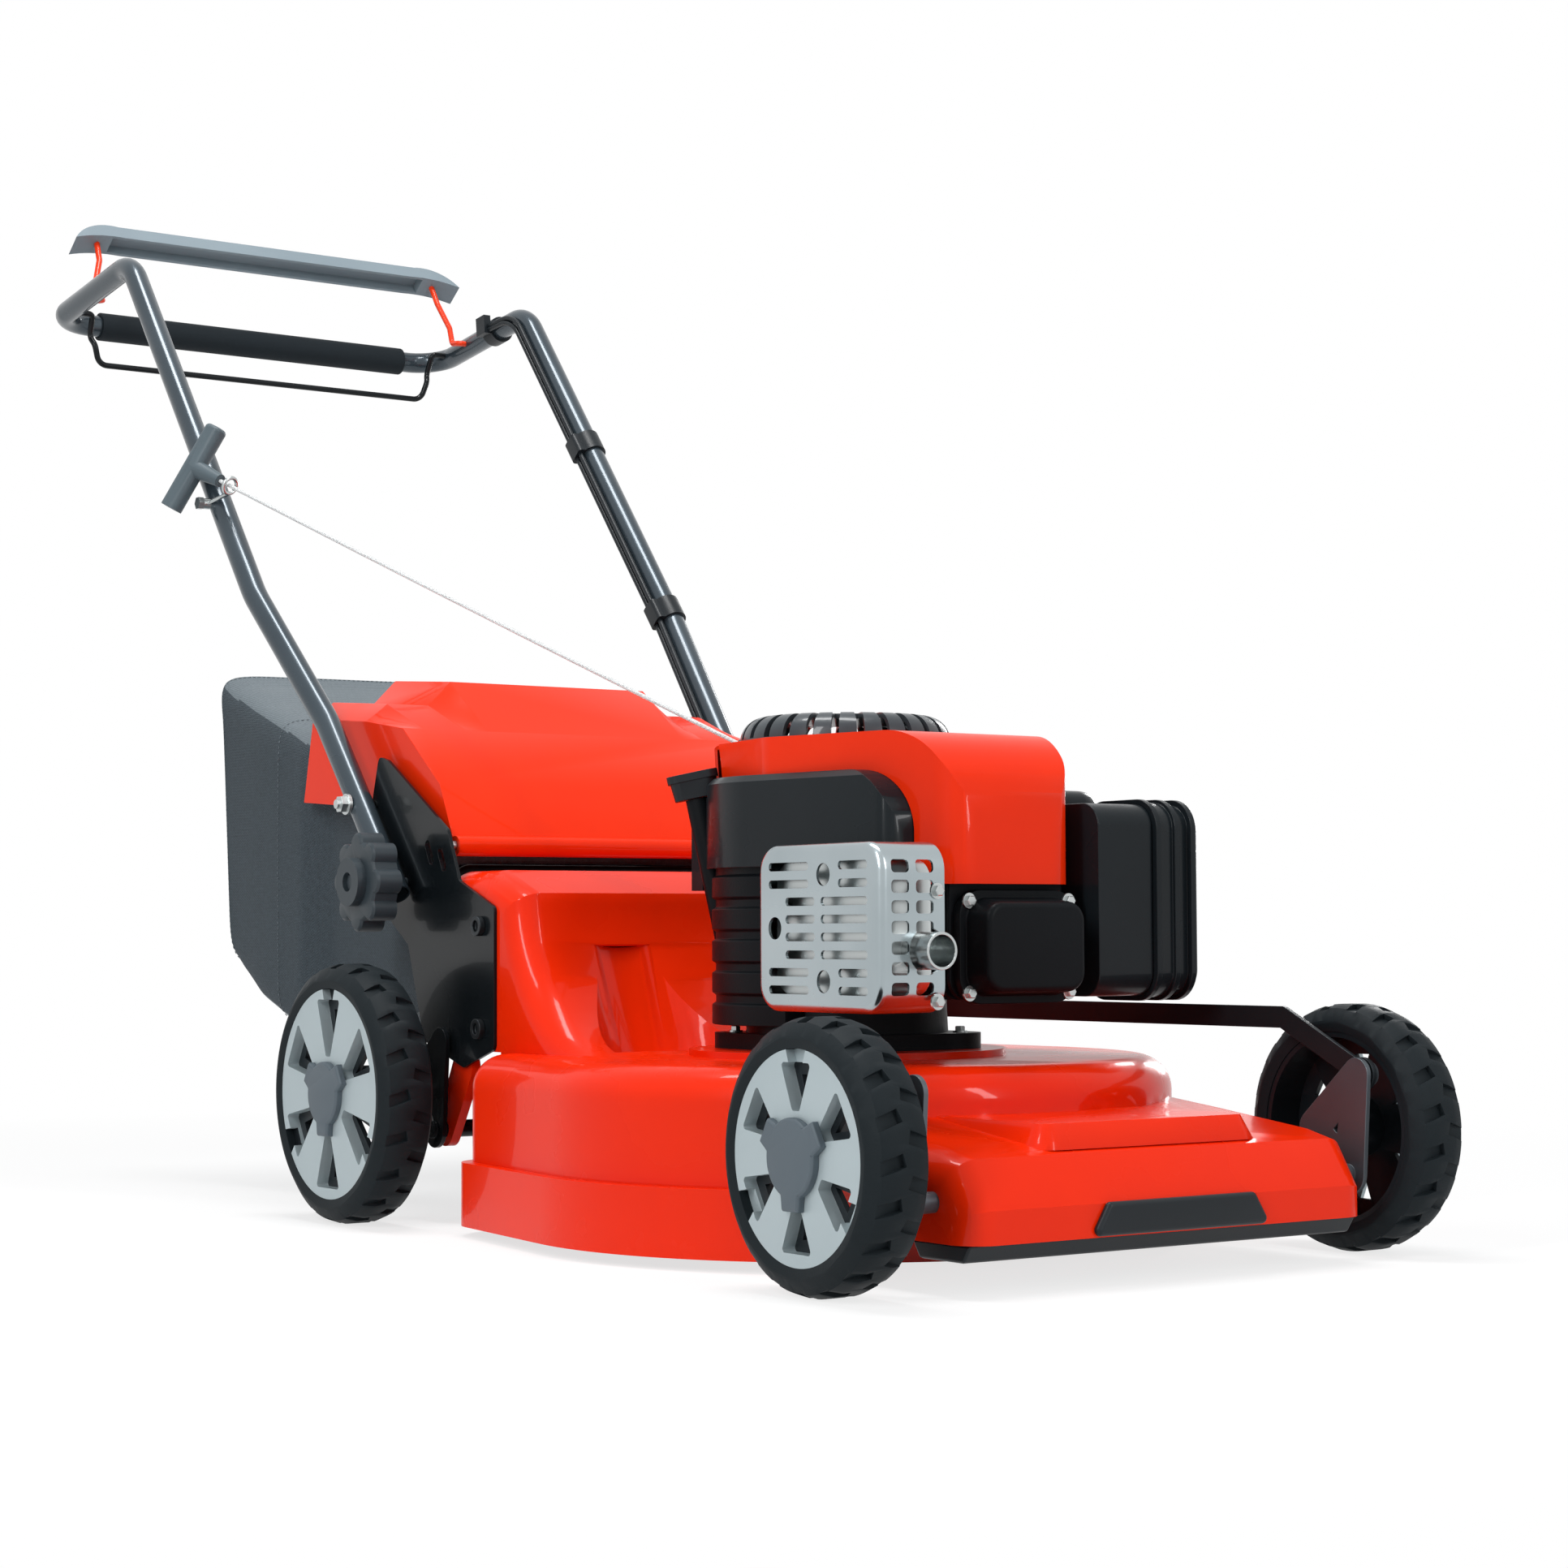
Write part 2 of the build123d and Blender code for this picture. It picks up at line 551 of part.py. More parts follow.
def handle_tube():
    tube = wire(handle_points(), HANDLE_BENDS, TUBE_R, TUBE_R - TUBE_WALL)
    tube -= rod_y(*KNOB_AXIS, -HANDLE_Y, HANDLE_Y, STUD_R + RUN_CLEARANCE)
    tube -= rod_y(*STOP_BOLT, -HANDLE_Y - 20, HANDLE_Y + 20, STOP_BOLT_R)
    inner_hole = 2 * (HANDLE_Y - TUBE_R) + 8
    for x, z in (BAIL_PIVOT, DRIVE_PIVOT):
        tube -= rod_y(x, z, -inner_hole / 2, inner_hole / 2, WIRE_R + RUN_CLEARANCE)
    return tube


def stop_bolts():
    y = FOOT_Y + TUBE_R
    bolt = rod_y(*STOP_BOLT, BRACKET_Y + BRACKET_T + 1, y + 12, STOP_BOLT_R)
    bolt += rod_y(*STOP_BOLT, y, y + 3, 9)
    nut = Pos(STOP_BOLT[0], y + 3, STOP_BOLT[1]) * Rot(X=-90) * extrude(RegularPolygon(7.5, 6), 6)
    return both_sides(bolt + nut)


def grip_sleeve():
    bore = TUBE_R + SEAT_GAP
    sleeve = rod_y(*GRIP_BAR, -SLEEVE_HALF, SLEEVE_HALF, SLEEVE_R) - rod_y(*GRIP_BAR, -HANDLE_Y, HANDLE_Y, bore)
    return sleeve


# Bails

def bail_tilt():
    dx, dz = BAIL_BAR[0] - BAIL_PIVOT[0], BAIL_BAR[1] - BAIL_PIVOT[1]
    return degrees(atan2(dz, dx)) - 90


def bail_blade():
    """Moulded cross blade, open underneath, with drooping ends and a thumb tab."""
    straight = BAIL_HALF - 50
    droop = BAIL_H
    edge = [
        Line((-straight, BAIL_H / 2), (straight, BAIL_H / 2)),
        ThreePointArc((straight, BAIL_H / 2), (straight + 28, BAIL_H / 2 - 3), (BAIL_HALF, -droop)),
        ThreePointArc((BAIL_HALF, -droop), (straight + 24, -BAIL_H / 2 - 1), (straight - 6, -BAIL_H / 2)),
        Line((straight - 6, -BAIL_H / 2), (-straight + 6, -BAIL_H / 2)),
        ThreePointArc((-straight + 6, -BAIL_H / 2), (-straight - 24, -BAIL_H / 2 - 1), (-BAIL_HALF, -droop)),
        ThreePointArc((-BAIL_HALF, -droop), (-straight - 28, BAIL_H / 2 - 3), (-straight, BAIL_H / 2)),
    ]
    front = Plane((BAIL_W / 2, 0, 0), x_dir=(0, 1, 0), z_dir=(1, 0, 0)) * make_face(edge)
    blade = extrude(front, -BAIL_W)
    blade -= block((-BAIL_W / 2 + 3, BAIL_W / 2 - 3), (-straight - 8, straight + 8), (-BAIL_H, BAIL_H / 2 - 4))
    tab = Pos(0, 0, BAIL_H / 2) * extrude(RectangleRounded(BAIL_W - 8, 56, 5), 7, taper=18)
    place = Pos(BAIL_BAR[0], 0, BAIL_BAR[1]) * Rot(Y=-bail_tilt())
    return place * (blade + tab) - bail_wires()


def bail_wires():
    """Cranked wire arms from the blade to the handle."""
    y_in = HANDLE_Y - TUBE_R
    px, pz = BAIL_PIVOT
    bx, bz = BAIL_BAR
    points = [
        (bx + 1, y_in - 18, bz + 1),
        (bx + 16, y_in - 16, bz - 26),
        (px - 22, y_in - 7, pz + 20),
        (px - 16, y_in - 7, pz + 2),
        (px, y_in - 7, pz),
        (px, y_in + 4, pz),
    ]
    return both_sides(wire(points, [10, 8, 6, 3.5], WIRE_R))


def drive_bail():
    y_in = HANDLE_Y - TUBE_R
    px, pz = DRIVE_PIVOT
    bx, bz = DRIVE_BAR
    left = [
        (px, y_in + 4, pz),
        (px, y_in - 15, pz),
        (px - 11, y_in - 16, pz - 22),
        (bx + 4, DRIVE_HALF + 6, bz + 20),
        (bx, DRIVE_HALF, bz),
    ]
    points = left + [(x, -y, z) for x, y, z in reversed(left)]
    bends = [5, 9, 10, 12, 12, 10, 9, 5]
    return wire(points, bends, WIRE_R)


# Starter rope, guide and pull grip

def rope_direction():
    return (Vector(*ROPE_EYE) - Vector(*RECOIL_EXIT)).normalized()


def rope_guide():
    """Open wire eye on a bolt through the right tube."""
    eye = Vector(*ROPE_EYE)
    plane = Plane(origin=eye, z_dir=rope_direction())
    ring = plane * Torus(7.5, 1.8)
    foot_y = -HANDLE_Y - TUBE_R - 3
    seat = Vector(GUIDE_BOLT[0], foot_y, GUIDE_BOLT[1])
    side = seat - eye
    side = (side - rope_direction() * side.dot(rope_direction())).normalized()
    leg = rod_between(tuple(eye + side * 7.5), tuple(seat), 1.8)
    nut = Pos(GUIDE_BOLT[0], foot_y - 4, GUIDE_BOLT[1]) * Rot(X=90) * extrude(RegularPolygon(6, 6), 5)
    pad = rod_y(*GUIDE_BOLT, foot_y - 4, -HANDLE_Y - TUBE_R, 5)
    return ring + leg + nut + pad


def starter_rope():
    return rod_between(RECOIL_EXIT, ROPE_EYE, ROPE_R)


def rope_tail():
    end = Vector(*ROPE_EYE) + rope_direction() * (GRIP_STEM - 30)
    return rod_between(ROPE_EYE, (end.X, end.Y, end.Z), ROPE_R)


def pull_grip():
    """T-shaped pull grip, its stem on the line of the rope."""
    axis = rope_direction()
    eye = Vector(*ROPE_EYE)
    across = Vector(0.287, 0.415, 0.863)
    across = (across - axis * across.dot(axis)).normalized()
    middle = eye + axis * (GRIP_STEM + 8)
    plane = Plane(origin=middle - across * GRIP_BAR_LEN / 2, z_dir=across, x_dir=axis)
    bar = extrude(plane * RectangleRounded(20, 17, 7), GRIP_BAR_LEN)
    bar = fillet(bar.faces().sort_by(Axis(tuple(middle), tuple(across)))[-1].edges(), 4)
    start = eye + axis * (GRIP_STEM - 30)
    stem = loft([Plane(origin=start, z_dir=axis) * Circle(6), Plane(origin=middle, z_dir=axis) * Circle(9)])
    bore = rod_between(tuple(start - axis), tuple(start + axis * 6), ROPE_R + 0.4)
    return bar + stem - bore


# Cables on the left tube

def cable_points(offset_y, offset_n):
    """Run along the inner side of the left tube, from the top bracket to below the lower clip."""
    top, knee, foot = Vector(HANDLE_TOP[0], 0, HANDLE_TOP[1]), Vector(HANDLE_KNEE[0], 0, HANDLE_KNEE[1]), \
        Vector(HANDLE_FOOT[0], 0, HANDLE_FOOT[1])
    normal = Vector(knee.Z - top.Z, 0, top.X - knee.X).normalized() * offset_n
    y = HANDLE_Y - offset_y
    start = top + normal + Vector(-52, 0, -4)
    corner = top + normal
    bend = knee + normal
    low = foot + normal
    return [(start.X, y, start.Z), (corner.X, y, corner.Z), (bend.X, y, bend.Z), (low.X, FOOT_Y - offset_y, low.Z)]


CABLE_R = 2.6
CABLE_LAY = ((TUBE_R + 4.0, 0.0), (TUBE_R + 4.0, 7.0))


def bowden_cables(extra=0.0):
    return [wire(cable_points(y, n), [46, 150], CABLE_R + extra) for y, n in CABLE_LAY]


def cable_tails():
    """Lower runs: between the flap and the left bracket, over the hinge pin and on to the engine."""
    shapes = []
    lane = (FLAP_HALF + BRACKET_Y) / 2
    hx, hz = FLAP_HINGE
    for (y, n), lift in zip(CABLE_LAY, (23.0, 13.0)):
        bend, end = [Vector(*point) for point in cable_points(y, n)[-2:]]
        lead = end + (end - bend).normalized() * 24
        points = [tuple(end), tuple(lead), (hx - 140 - n, lane, hz + 30 + lift), (hx - 30, lane, hz + lift - 2),
                  (hx + 40, lane - 4, hz + lift - 3), (hx + 120, lane - 46, hz + lift - 4),
                  (CRANK_X - 58, SHROUD_R - 2, hz + lift - 12)]
        shapes.append(wire(points, [24, 60, 120, 120, 120], CABLE_R))
    return shapes


def clip_at(share):
    """Strap clip round the left tube and the two cables."""
    top, knee = Vector(HANDLE_TOP[0], 0, HANDLE_TOP[1]), Vector(HANDLE_KNEE[0], 0, HANDLE_KNEE[1])
    run = knee - top
    spot = top + run * share
    plane = Plane(origin=(spot.X, HANDLE_Y, spot.Z), z_dir=run, x_dir=(0, 1, 0))
    cable_x = -CABLE_LAY[0][0]
    outline = Circle(TUBE_R + 2.5) + Pos(cable_x + 1, cable_side() * CABLE_LAY[1][1] / 2) * RectangleRounded(11, 20, 4)
    clip = extrude(plane * outline, 12, both=True)
    clip -= wire(handle_points(), HANDLE_BENDS, TUBE_R + SEAT_GAP)
    return clip - bowden_cables(SEAT_GAP)


def cable_side():
    """Sign that turns an offset from the tube into the clip's own drawing."""
    top, knee = Vector(HANDLE_TOP[0], 0, HANDLE_TOP[1]), Vector(HANDLE_KNEE[0], 0, HANDLE_KNEE[1])
    plane = Plane(origin=(0, 0, 0), z_dir=knee - top, x_dir=(0, 1, 0))
    normal = Vector(knee.Z - top.Z, 0, top.X - knee.X).normalized()
    return 1.0 if normal.dot(plane.y_dir) > 0 else -1.0


def cable_bracket():
    """Saddle on the left arm that holds the upper cable ends."""
    x, z = HANDLE_TOP[0] - 62, HANDLE_TOP[1] - 62 * (HANDLE_TOP[1] - GRIP_BAR[1]) / (HANDLE_TOP[0] - GRIP_BAR[0])
    tilt = degrees(atan2(HANDLE_TOP[1] - GRIP_BAR[1], HANDLE_TOP[0] - GRIP_BAR[0]))
    saddle = Rot(Y=90) * extrude(Circle(TUBE_R + 3) - Circle(TUBE_R + 0.15), 9, both=True)
    lug = Pos(0, -TUBE_R - 6, 4) * Box(18, 8, 20)
    shape = saddle + (lug - Rot(Y=90) * Cylinder(TUBE_R + 0.15, 40))
    return Pos(x, HANDLE_Y, z) * Rot(Y=-tilt) * shape - bowden_cables(SEAT_GAP)


# Rear flap and collector

def flap_section(y, rise, drop, inset):
    """Section of the flap at one place across: hinge, crest, rear lip and the open underside."""
    hx, hz = FLAP_HINGE
    rx, rz = FLAP_REAR
    crest = [(hx - 2, hz + 4), (hx - 26, hz + 52), (hx - 92, hz + 102), (hx - 160, hz + 128 + rise), (rx, rz + rise)]
    points = [(x - 0.5 * inset, z - inset) for x, z in crest]
    points += [(rx - drop * 0.2 - 3 * inset, rz - drop - 3 * inset), (hx - 112, hz + 124 - drop - 3 * inset),
               (hx - 12, hz - 4 - 3 * inset)]
    return Plane((0, y, 0), x_dir=(1, 0, 0), z_dir=(0, -1, 0)) * Polygon(*points, align=None)


def flap_form(inset):
    """Cover lofted across: wings, shoulders and a raised middle."""
    stations = [(FLAP_HALF - inset, -16, 90), (FLAP_HALF - 20, 0, 90), (FLAP_HUMP + 14, 0, 90), (FLAP_HUMP - 8, 22, 90)]
    stations += [(-y, rise, drop) for y, rise, drop in reversed(stations)]
    return loft([flap_section(y, rise, drop, inset) for y, rise, drop in stations], ruled=True)


def flap():
    """Moulded cover over the mouth of the collector, hollow underneath, on a hinge barrel."""
    hx, hz = FLAP_HINGE
    body = flap_form(0) - flap_form(FLAP_T)
    body += rod_y(hx, hz, -FLAP_HALF, FLAP_HALF, FLAP_PIN_R + 4.5)
    return body - rod_y(hx, hz, -FLAP_HALF - 1, FLAP_HALF + 1, FLAP_PIN_R + RUN_CLEARANCE)


def flap_pin():
    return rod_y(*FLAP_HINGE, -BRACKET_Y, BRACKET_Y, FLAP_PIN_R)


def bag_outline(inset):
    front = BAG_FRONT_X
    points = [(front, 168 + inset), (-120, 140 + inset), (-262, 136 + inset), (-340 + inset, 164 + inset),
              (-398 + inset, 204), (-408 + inset, 300), (-418 + inset, 430), (-432 + inset, 486 - inset),
              (-268, 423 - inset), (-225, 392 - inset), (-120, 346 - inset), (front, 296 - inset)]
    return Polygon(*points, align=None)


def bag_form(inset):
    body = plate(bag_outline(inset), -BAG_HALF + inset, 2 * (BAG_HALF - inset))
    rear = bag_outline(inset) & Pos(BAG_REAR_X - 200 - inset, 300) * Rectangle(400, 500)
    return body + plate(rear, -BAG_REAR_HALF + inset, 2 * (BAG_REAR_HALF - inset))


def collector_bag():
    outer, inner = (bag_form(inset) for inset in (0, BAG_WALL))
    mouth = block((BAG_FRONT_X - 4, BAG_FRONT_X + 4), (-BAG_HALF + BAG_WALL, BAG_HALF - BAG_WALL), (171, 293))
    return outer - inner - mouth


def collector_frame():
    """Rod frame round the mouth of the bag."""
    x = BAG_FRONT_X + 8
    low, high = 172, 288
    half = BAG_HALF - 8
    points = [(x, half, low), (x, half, high), (x, -half, high), (x, -half, low)]
    path = FilletPolyline(*points, radius=14, close=True)
    return sweep(Plane(origin=path @ 0, z_dir=path % 0) * Circle(4), path=path)


# Engine

def crankcase():
    z0 = PAD_Z
    foot = Pos(CRANK_X, 0, z0) * extrude(RectangleRounded(164, 164, 30), FLANGE_T)
    case = Pos(CRANK_X, 0, z0 + FLANGE_T) * extrude(Circle(CASE_R), 88, taper=3)
    neck = block((CRANK_X + 40, CRANK_X + 92), (-46, 56), (z0 + 48, z0 + 138))
    body = foot + case + neck
    body -= Pos(CRANK_X, 0, z0 + 30) * Cylinder(SHAFT_R + RUN_CLEARANCE, 90)
    return body + rod_between(FILLER_FOOT, FILLER_TOP, FILLER_R)


def cylinder_block():
    """Finned barrel and head, lying forward."""
    x0, z = CRANK_X + 92, PAD_Z + 88
    barrel = Pos(x0 + 48, 5, z) * Rot(Y=90) * Cylinder(36, 96)
    for i in range(9):
        barrel += Pos(x0 + 6 + i * 11, 5, z) * Rot(Y=90) * extrude(RectangleRounded(96, 104, 16), 4)
    return barrel


def valve_cover():
    x0, z = CRANK_X + 92 + 98, PAD_Z + 78
    face = Plane((x0, 10, z), x_dir=(0, 1, 0), z_dir=(1, 0, 0))
    cover = extrude(face * RectangleRounded(108, 82, 20), 8)
    cover += extrude(face * RectangleRounded(98, 72, 18), 30, taper=8)
    return fillet(cover.faces().sort_by(Axis.X)[-1].edges(), 5)


def shroud_plan():
    corners = [(CRANK_X, 0, SHROUD_R), (SHROUD_FRONT_X - 16, -70, 16), (SHROUD_FRONT_X - 16, 50, 16)]
    discs = Sketch() + [Pos(x, y) * Circle(r) for x, y, r in corners]
    return make_hull(discs.edges())


def arch_side(x_back, x_front, z_low, z_high, radius):
    """Side outline of a cover whose front upper edge is a large round."""
    outline = Polygon((x_back, z_low), (x_back, z_high), (x_front, z_high), (x_front, z_low), align=None)
    return fillet(outline.vertices().sort_by_distance((x_front, z_high))[0], radius)


def shroud():
    """Blower housing round the flywheel, drawn forward over the cylinder under a rounded front."""
    low, high = SHROUD_Z
    plan = shroud_plan()
    back, reach = CRANK_X - SHROUD_R - 20, 2 * SHROUD_R
    outer = extrude(Pos(Z=low) * plan, high - low)
    outer = chamfer(outer.faces().sort_by(Axis.Z)[-1].edges(), 5)
    outer &= plate(arch_side(back, SHROUD_FRONT_X, low, high, ARCH_R), -reach, 2 * reach)
    inner = extrude(Pos(Z=low - 1) * offset(plan, -SHEET), high - low - SHEET + 1)
    inner &= plate(arch_side(back, SHROUD_FRONT_X - SHEET, low - 1, high - SHEET, ARCH_R - SHEET), -reach, 2 * reach)
    tail = block((CRANK_X - SHROUD_R - 4, CRANK_X - SHROUD_R + 12), (-70, -10), (low - 16, low + 52))
    return outer - inner + tail - filler_space()


def hood_plan(inset):
    points = [(CRANK_X - 88, -72), (CRANK_X + 30, -96), (HOOD_FRONT_X, -52), (HOOD_FRONT_X, 57),
              (CRANK_X + 60, 92), (CRANK_X - 88, 72)]
    return offset(fillet(Polygon(*points, align=None).vertices(), 26), -inset)


def hood_form(inset):
    """Top cover as an arch: a low crown over the blower that bends down into an apron in front."""
    low, reach = SHROUD_Z[1], 2 * SHROUD_R
    back, front, top = CRANK_X - 88 + inset, HOOD_FRONT_X - inset, HOOD_TOP_Z - inset
    side = arch_side(back, front, APRON_Z - 2 * inset, top, HOOD_ARCH_R - inset)
    side = fillet(side.vertices().sort_by_distance((back, top))[0], 14 - inset)
    body = extrude(Pos(Z=APRON_Z - 10) * hood_plan(inset), top - APRON_Z + 20) & plate(side, -reach, 2 * reach)
    under = arch_side(back - 20, SHROUD_FRONT_X + HOOD_GAP, APRON_Z - 20, low, ARCH_R + HOOD_GAP)
    return body - plate(under, -reach, 2 * reach) if not inset else body


def hood():
    well = Pos(CRANK_X, 0, HOOD_TOP_Z) * Cylinder(RECOIL_R + 1, 100)
    cover = hood_form(0) - hood_form(SHEET) - well - filler_space() - recoil_boss(2.0)
    return cover.solids().sort_by(SortBy.VOLUME)[-1]


def recoil_cover():
    """Domed starter cover, open below, with a ring of cooling slots that run out over its shoulder."""
    low = SHROUD_Z[1]
    height = RECOIL_TOP_Z - low
    body, inside = (Pos(CRANK_X, 0, low) * Cylinder(RECOIL_R - t, height - t, align=(Align.CENTER, Align.CENTER, Align.MIN))
                    for t in (0, RECOIL_WALL))
    body = fillet(body.faces().sort_by(Axis.Z)[-1].edges(), 20)
    body -= fillet(inside.faces().sort_by(Axis.Z)[-1].edges(), 20 - RECOIL_WALL)
    slot = Pos(RECOIL_R - RECOIL_SLOT[0] / 2 + 1, 0, 0) * Box(*RECOIL_SLOT, 36)
    body -= Pos(CRANK_X, 0, RECOIL_TOP_Z) * PolarLocations(0, RECOIL_SLOTS) * slot
    return body + (recoil_boss() - Pos(CRANK_X, 0, low) * Cylinder(RECOIL_R - 2 * RECOIL_WALL, 200))


def recoil_boss(extra=0.0):
    """Eyelet through which the starter rope leaves the cover."""
    eyelet = Vector(*RECOIL_EXIT)
    return rod_between(tuple(eyelet - rope_direction() * 26), tuple(eyelet + rope_direction() * extra), 6 + extra)


def fuel_tank():
    x, y = TANK_CAP
    tank = Pos(x - 15, y - 2, 262) * extrude(RectangleRounded(150, 96, 26), 80)
    tank = fillet(tank.faces().sort_by(Axis.Z)[-1].edges(), 14)
    neck = Pos(x, y, 342) * Cylinder(17, 18, align=(Align.CENTER, Align.CENTER, Align.MIN))
    shape = tank + neck
    return shape - extrude(Pos(Z=250) * offset(shroud_plan(), 1.5), 150)


def fuel_cap():
    outline = Circle(24) + PolarLocations(22, 12) * Circle(4)
    height = 20
    cap = extrude(outline, height)
    cap = chamfer(cap.faces().sort_by(Axis.Z)[-1].edges(), 2)
    return Pos(TANK_CAP[0], TANK_CAP[1], CAP_TOP_Z - height) * cap


def filter_base():
    (x0, x1), (y0, y1), (z0, z1) = FILTER_BOX
    body = block((x0, x1), (y0, y0 + 52), (z0, z1))
    return fillet(body.edges().filter_by(Axis.Y), 18)


def filter_cover():
    """Ribbed cover that closes the filter housing on the left."""
    (x0, x1), (y0, y1), (z0, z1) = FILTER_BOX
    face = Plane(((x0 + x1) / 2, y0 + 53, (z0 + z1) / 2), x_dir=(1, 0, 0), z_dir=(0, 1, 0))
    cover = extrude(face * RectangleRounded(x1 - x0 + 6, z1 - z0 + 6, 22), y1 - y0 - 53, taper=6)
    for step in (0, 18, 34):
        rib = face.offset(step) * (RectangleRounded(x1 - x0 + 8, z1 - z0 + 8, 23))
        cover += extrude(rib, 5)
    return fillet(cover.faces().sort_by(Axis.Y)[-1].edges(), 9)


def muffler():
    (x0, x1), (y0, y1), (z0, z1) = MUFFLER_BOX
    can = block((x0 + 12, x1 - 14), (y0 + 9, y1 - 1), (z0 + 12, z1 - 12))
    can = fillet(can.edges().filter_by(Axis.Y), 16)
    stub = block((x0 + 20, x0 + 70), (y1 - 1, -48), (z0 + 40, z1 - 40))
    y, z = outlet_place()
    return can + stub + exhaust_outlet() - Pos(x1 - 14, y, z) * Rot(Y=90) * Cylinder(OUTLET_BORE_R, 20)


def outlet_place():
    (x0, x1), (y0, y1), (z0, z1) = MUFFLER_BOX
    return (y0 + y1) / 2 + 13, z0 + 43


def exhaust_outlet():
    (x0, x1), y_range, z_range = MUFFLER_BOX
    y, z = outlet_place()
    tube = Cylinder(OUTLET_R, OUTLET_LEN) - Cylinder(OUTLET_BORE_R, OUTLET_LEN)
    return Pos(x1 - 14 + OUTLET_LEN / 2, y, z) * Rot(Y=90) * tube


def guard_slots(span):
    """Cut-outs in the open face of the guard: rows of slots and three round holes."""
    slots = Sketch()
    pitch = 12.4
    for row in range(8):
        pairs = ((0.10, 0.43), (0.67, 0.90)) if row in (0, 1, 6, 7) else ((0.24, 0.48), (0.53, 0.90))
        for low, high in pairs:
            slots += Pos((low + high) / 2 * span, 15.5 + row * pitch) * SlotOverall((high - low) * span, 6)
    for share, row in ((0.55, 0.5), (0.55, 6.5), (0.15, 3.5)):
        slots += Pos(share * span, 15.5 + row * pitch) * Circle(8)
    return slots


def muffler_guard():
    """Pressed heat guard round the muffler, slotted on both open faces."""
    (x0, x1), (y0, y1), (z0, z1) = MUFFLER_BOX
    shell = block((x0, x1), (y0, y1), (z0, z1))
    shell = fillet(shell.edges().filter_by(Axis.Y), 20)
    shell = fillet(shell.faces().sort_by(Axis.Y)[0].edges(), 6)
    inner = block((x0 + 2, x1 - 2), (y0 + 2, y1 + 1), (z0 + 2, z1 - 2))
    inner = fillet(inner.edges().filter_by(Axis.Y), 18)
    guard = shell - inner
    guard -= extrude(Plane((x0, y0 - 4, z0), x_dir=(1, 0, 0), z_dir=(0, -1, 0)) * guard_slots(x1 - x0), -9)
    vents = Sketch()
    for i in range(7):
        for across in (17, 38):
            vents += Pos(across, 17 + i * 14) * RectangleRounded(15, 9, 3)
    guard -= extrude(Plane((x1 + 4, y0, z0), x_dir=(0, 1, 0), z_dir=(1, 0, 0)) * vents, -9)
    y, z = outlet_place()
    return guard - Pos(x1, y, z) * Rot(Y=90) * Cylinder(OUTLET_R + 3, 20)


def dipstick():
    """Oil filler cap with flared wings, on the filler tube."""
    plane = filler_plane()
    cap = extrude(plane * RectangleRounded(34, 22, 7), 14, taper=-5)
    return cap + extrude(plane.offset(14) * RectangleRounded(40, 26, 8), 6)


def filler_plane():
    axis = (Vector(*FILLER_TOP) - Vector(*FILLER_FOOT)).normalized()
    return Plane(origin=Vector(*FILLER_TOP) + axis * 0.5, z_dir=axis, x_dir=(0.569, 0.822, 0))


def filler_space():
    """Room that the covers leave round the oil filler, for its cap to turn."""
    return extrude(filler_plane().offset(-80) * Circle(FILLER_R + 2), 80) + \
        extrude(filler_plane().offset(-2) * Circle(26), 40)


# Cutting and drive

def crankshaft():
    z_low, z_high = BLADE_Z + BLADE_T + 18, PAD_Z + 60
    shaft = Pos(CRANK_X, 0, z_low) * Cylinder(SHAFT_R, z_high - z_low, align=(Align.CENTER, Align.CENTER, Align.MIN))
    pulley = Pos(CRANK_X, 0, BELT_Z) * Cylinder(PULLEY_R, BELT_H + 6)
    groove = Cylinder(PULLEY_R + 1, BELT_H + 1) - Cylinder(PULLEY_R - 7, BELT_H + 1)
    return shaft + pulley - Pos(CRANK_X, 0, BELT_Z) * groove


def blade_adapter():
    z = BLADE_Z + BLADE_T
    return Pos(CRANK_X, 0, z) * Cylinder(30, 18, align=(Align.CENTER, Align.CENTER, Align.MIN))


def blade():
    """Flat bar with cutting edges and raised rear corners at both ends."""
    bar = Pos(0, 0, BLADE_T / 2) * Box(2 * BLADE_R - 4, BLADE_W, BLADE_T)
    wing = Plane((BLADE_R - 95, BLADE_W / 2 - 14, 0), x_dir=(0, 1, 0), z_dir=(1, 0, 0))
    lift = Polygon((0, 0), (6, 0), (26, 20), (22, 22), (2, BLADE_T), align=None)
    raised = extrude(wing * lift, 70)
    tip_cut = Pos(BLADE_R - 60, -BLADE_W / 2, BLADE_T) * Rot(X=30) * Box(120, 10, 6)
    for turn in (0, 180):
        bar += Rot(Z=turn) * raised
        bar -= Rot(Z=turn) * tip_cut
    bar &= Cylinder(BLADE_R, 80)
    return Pos(CRANK_X, 0, BLADE_Z) * Rot(Z=62) * bar


def blade_bolt():
    shape = Pos(CRANK_X, 0, BLADE_Z - 3) * Cylinder(18, 3, align=(Align.CENTER, Align.CENTER, Align.MIN))
    return shape + Pos(CRANK_X, 0, BLADE_Z - 11) * extrude(RegularPolygon(9, 6), 8)


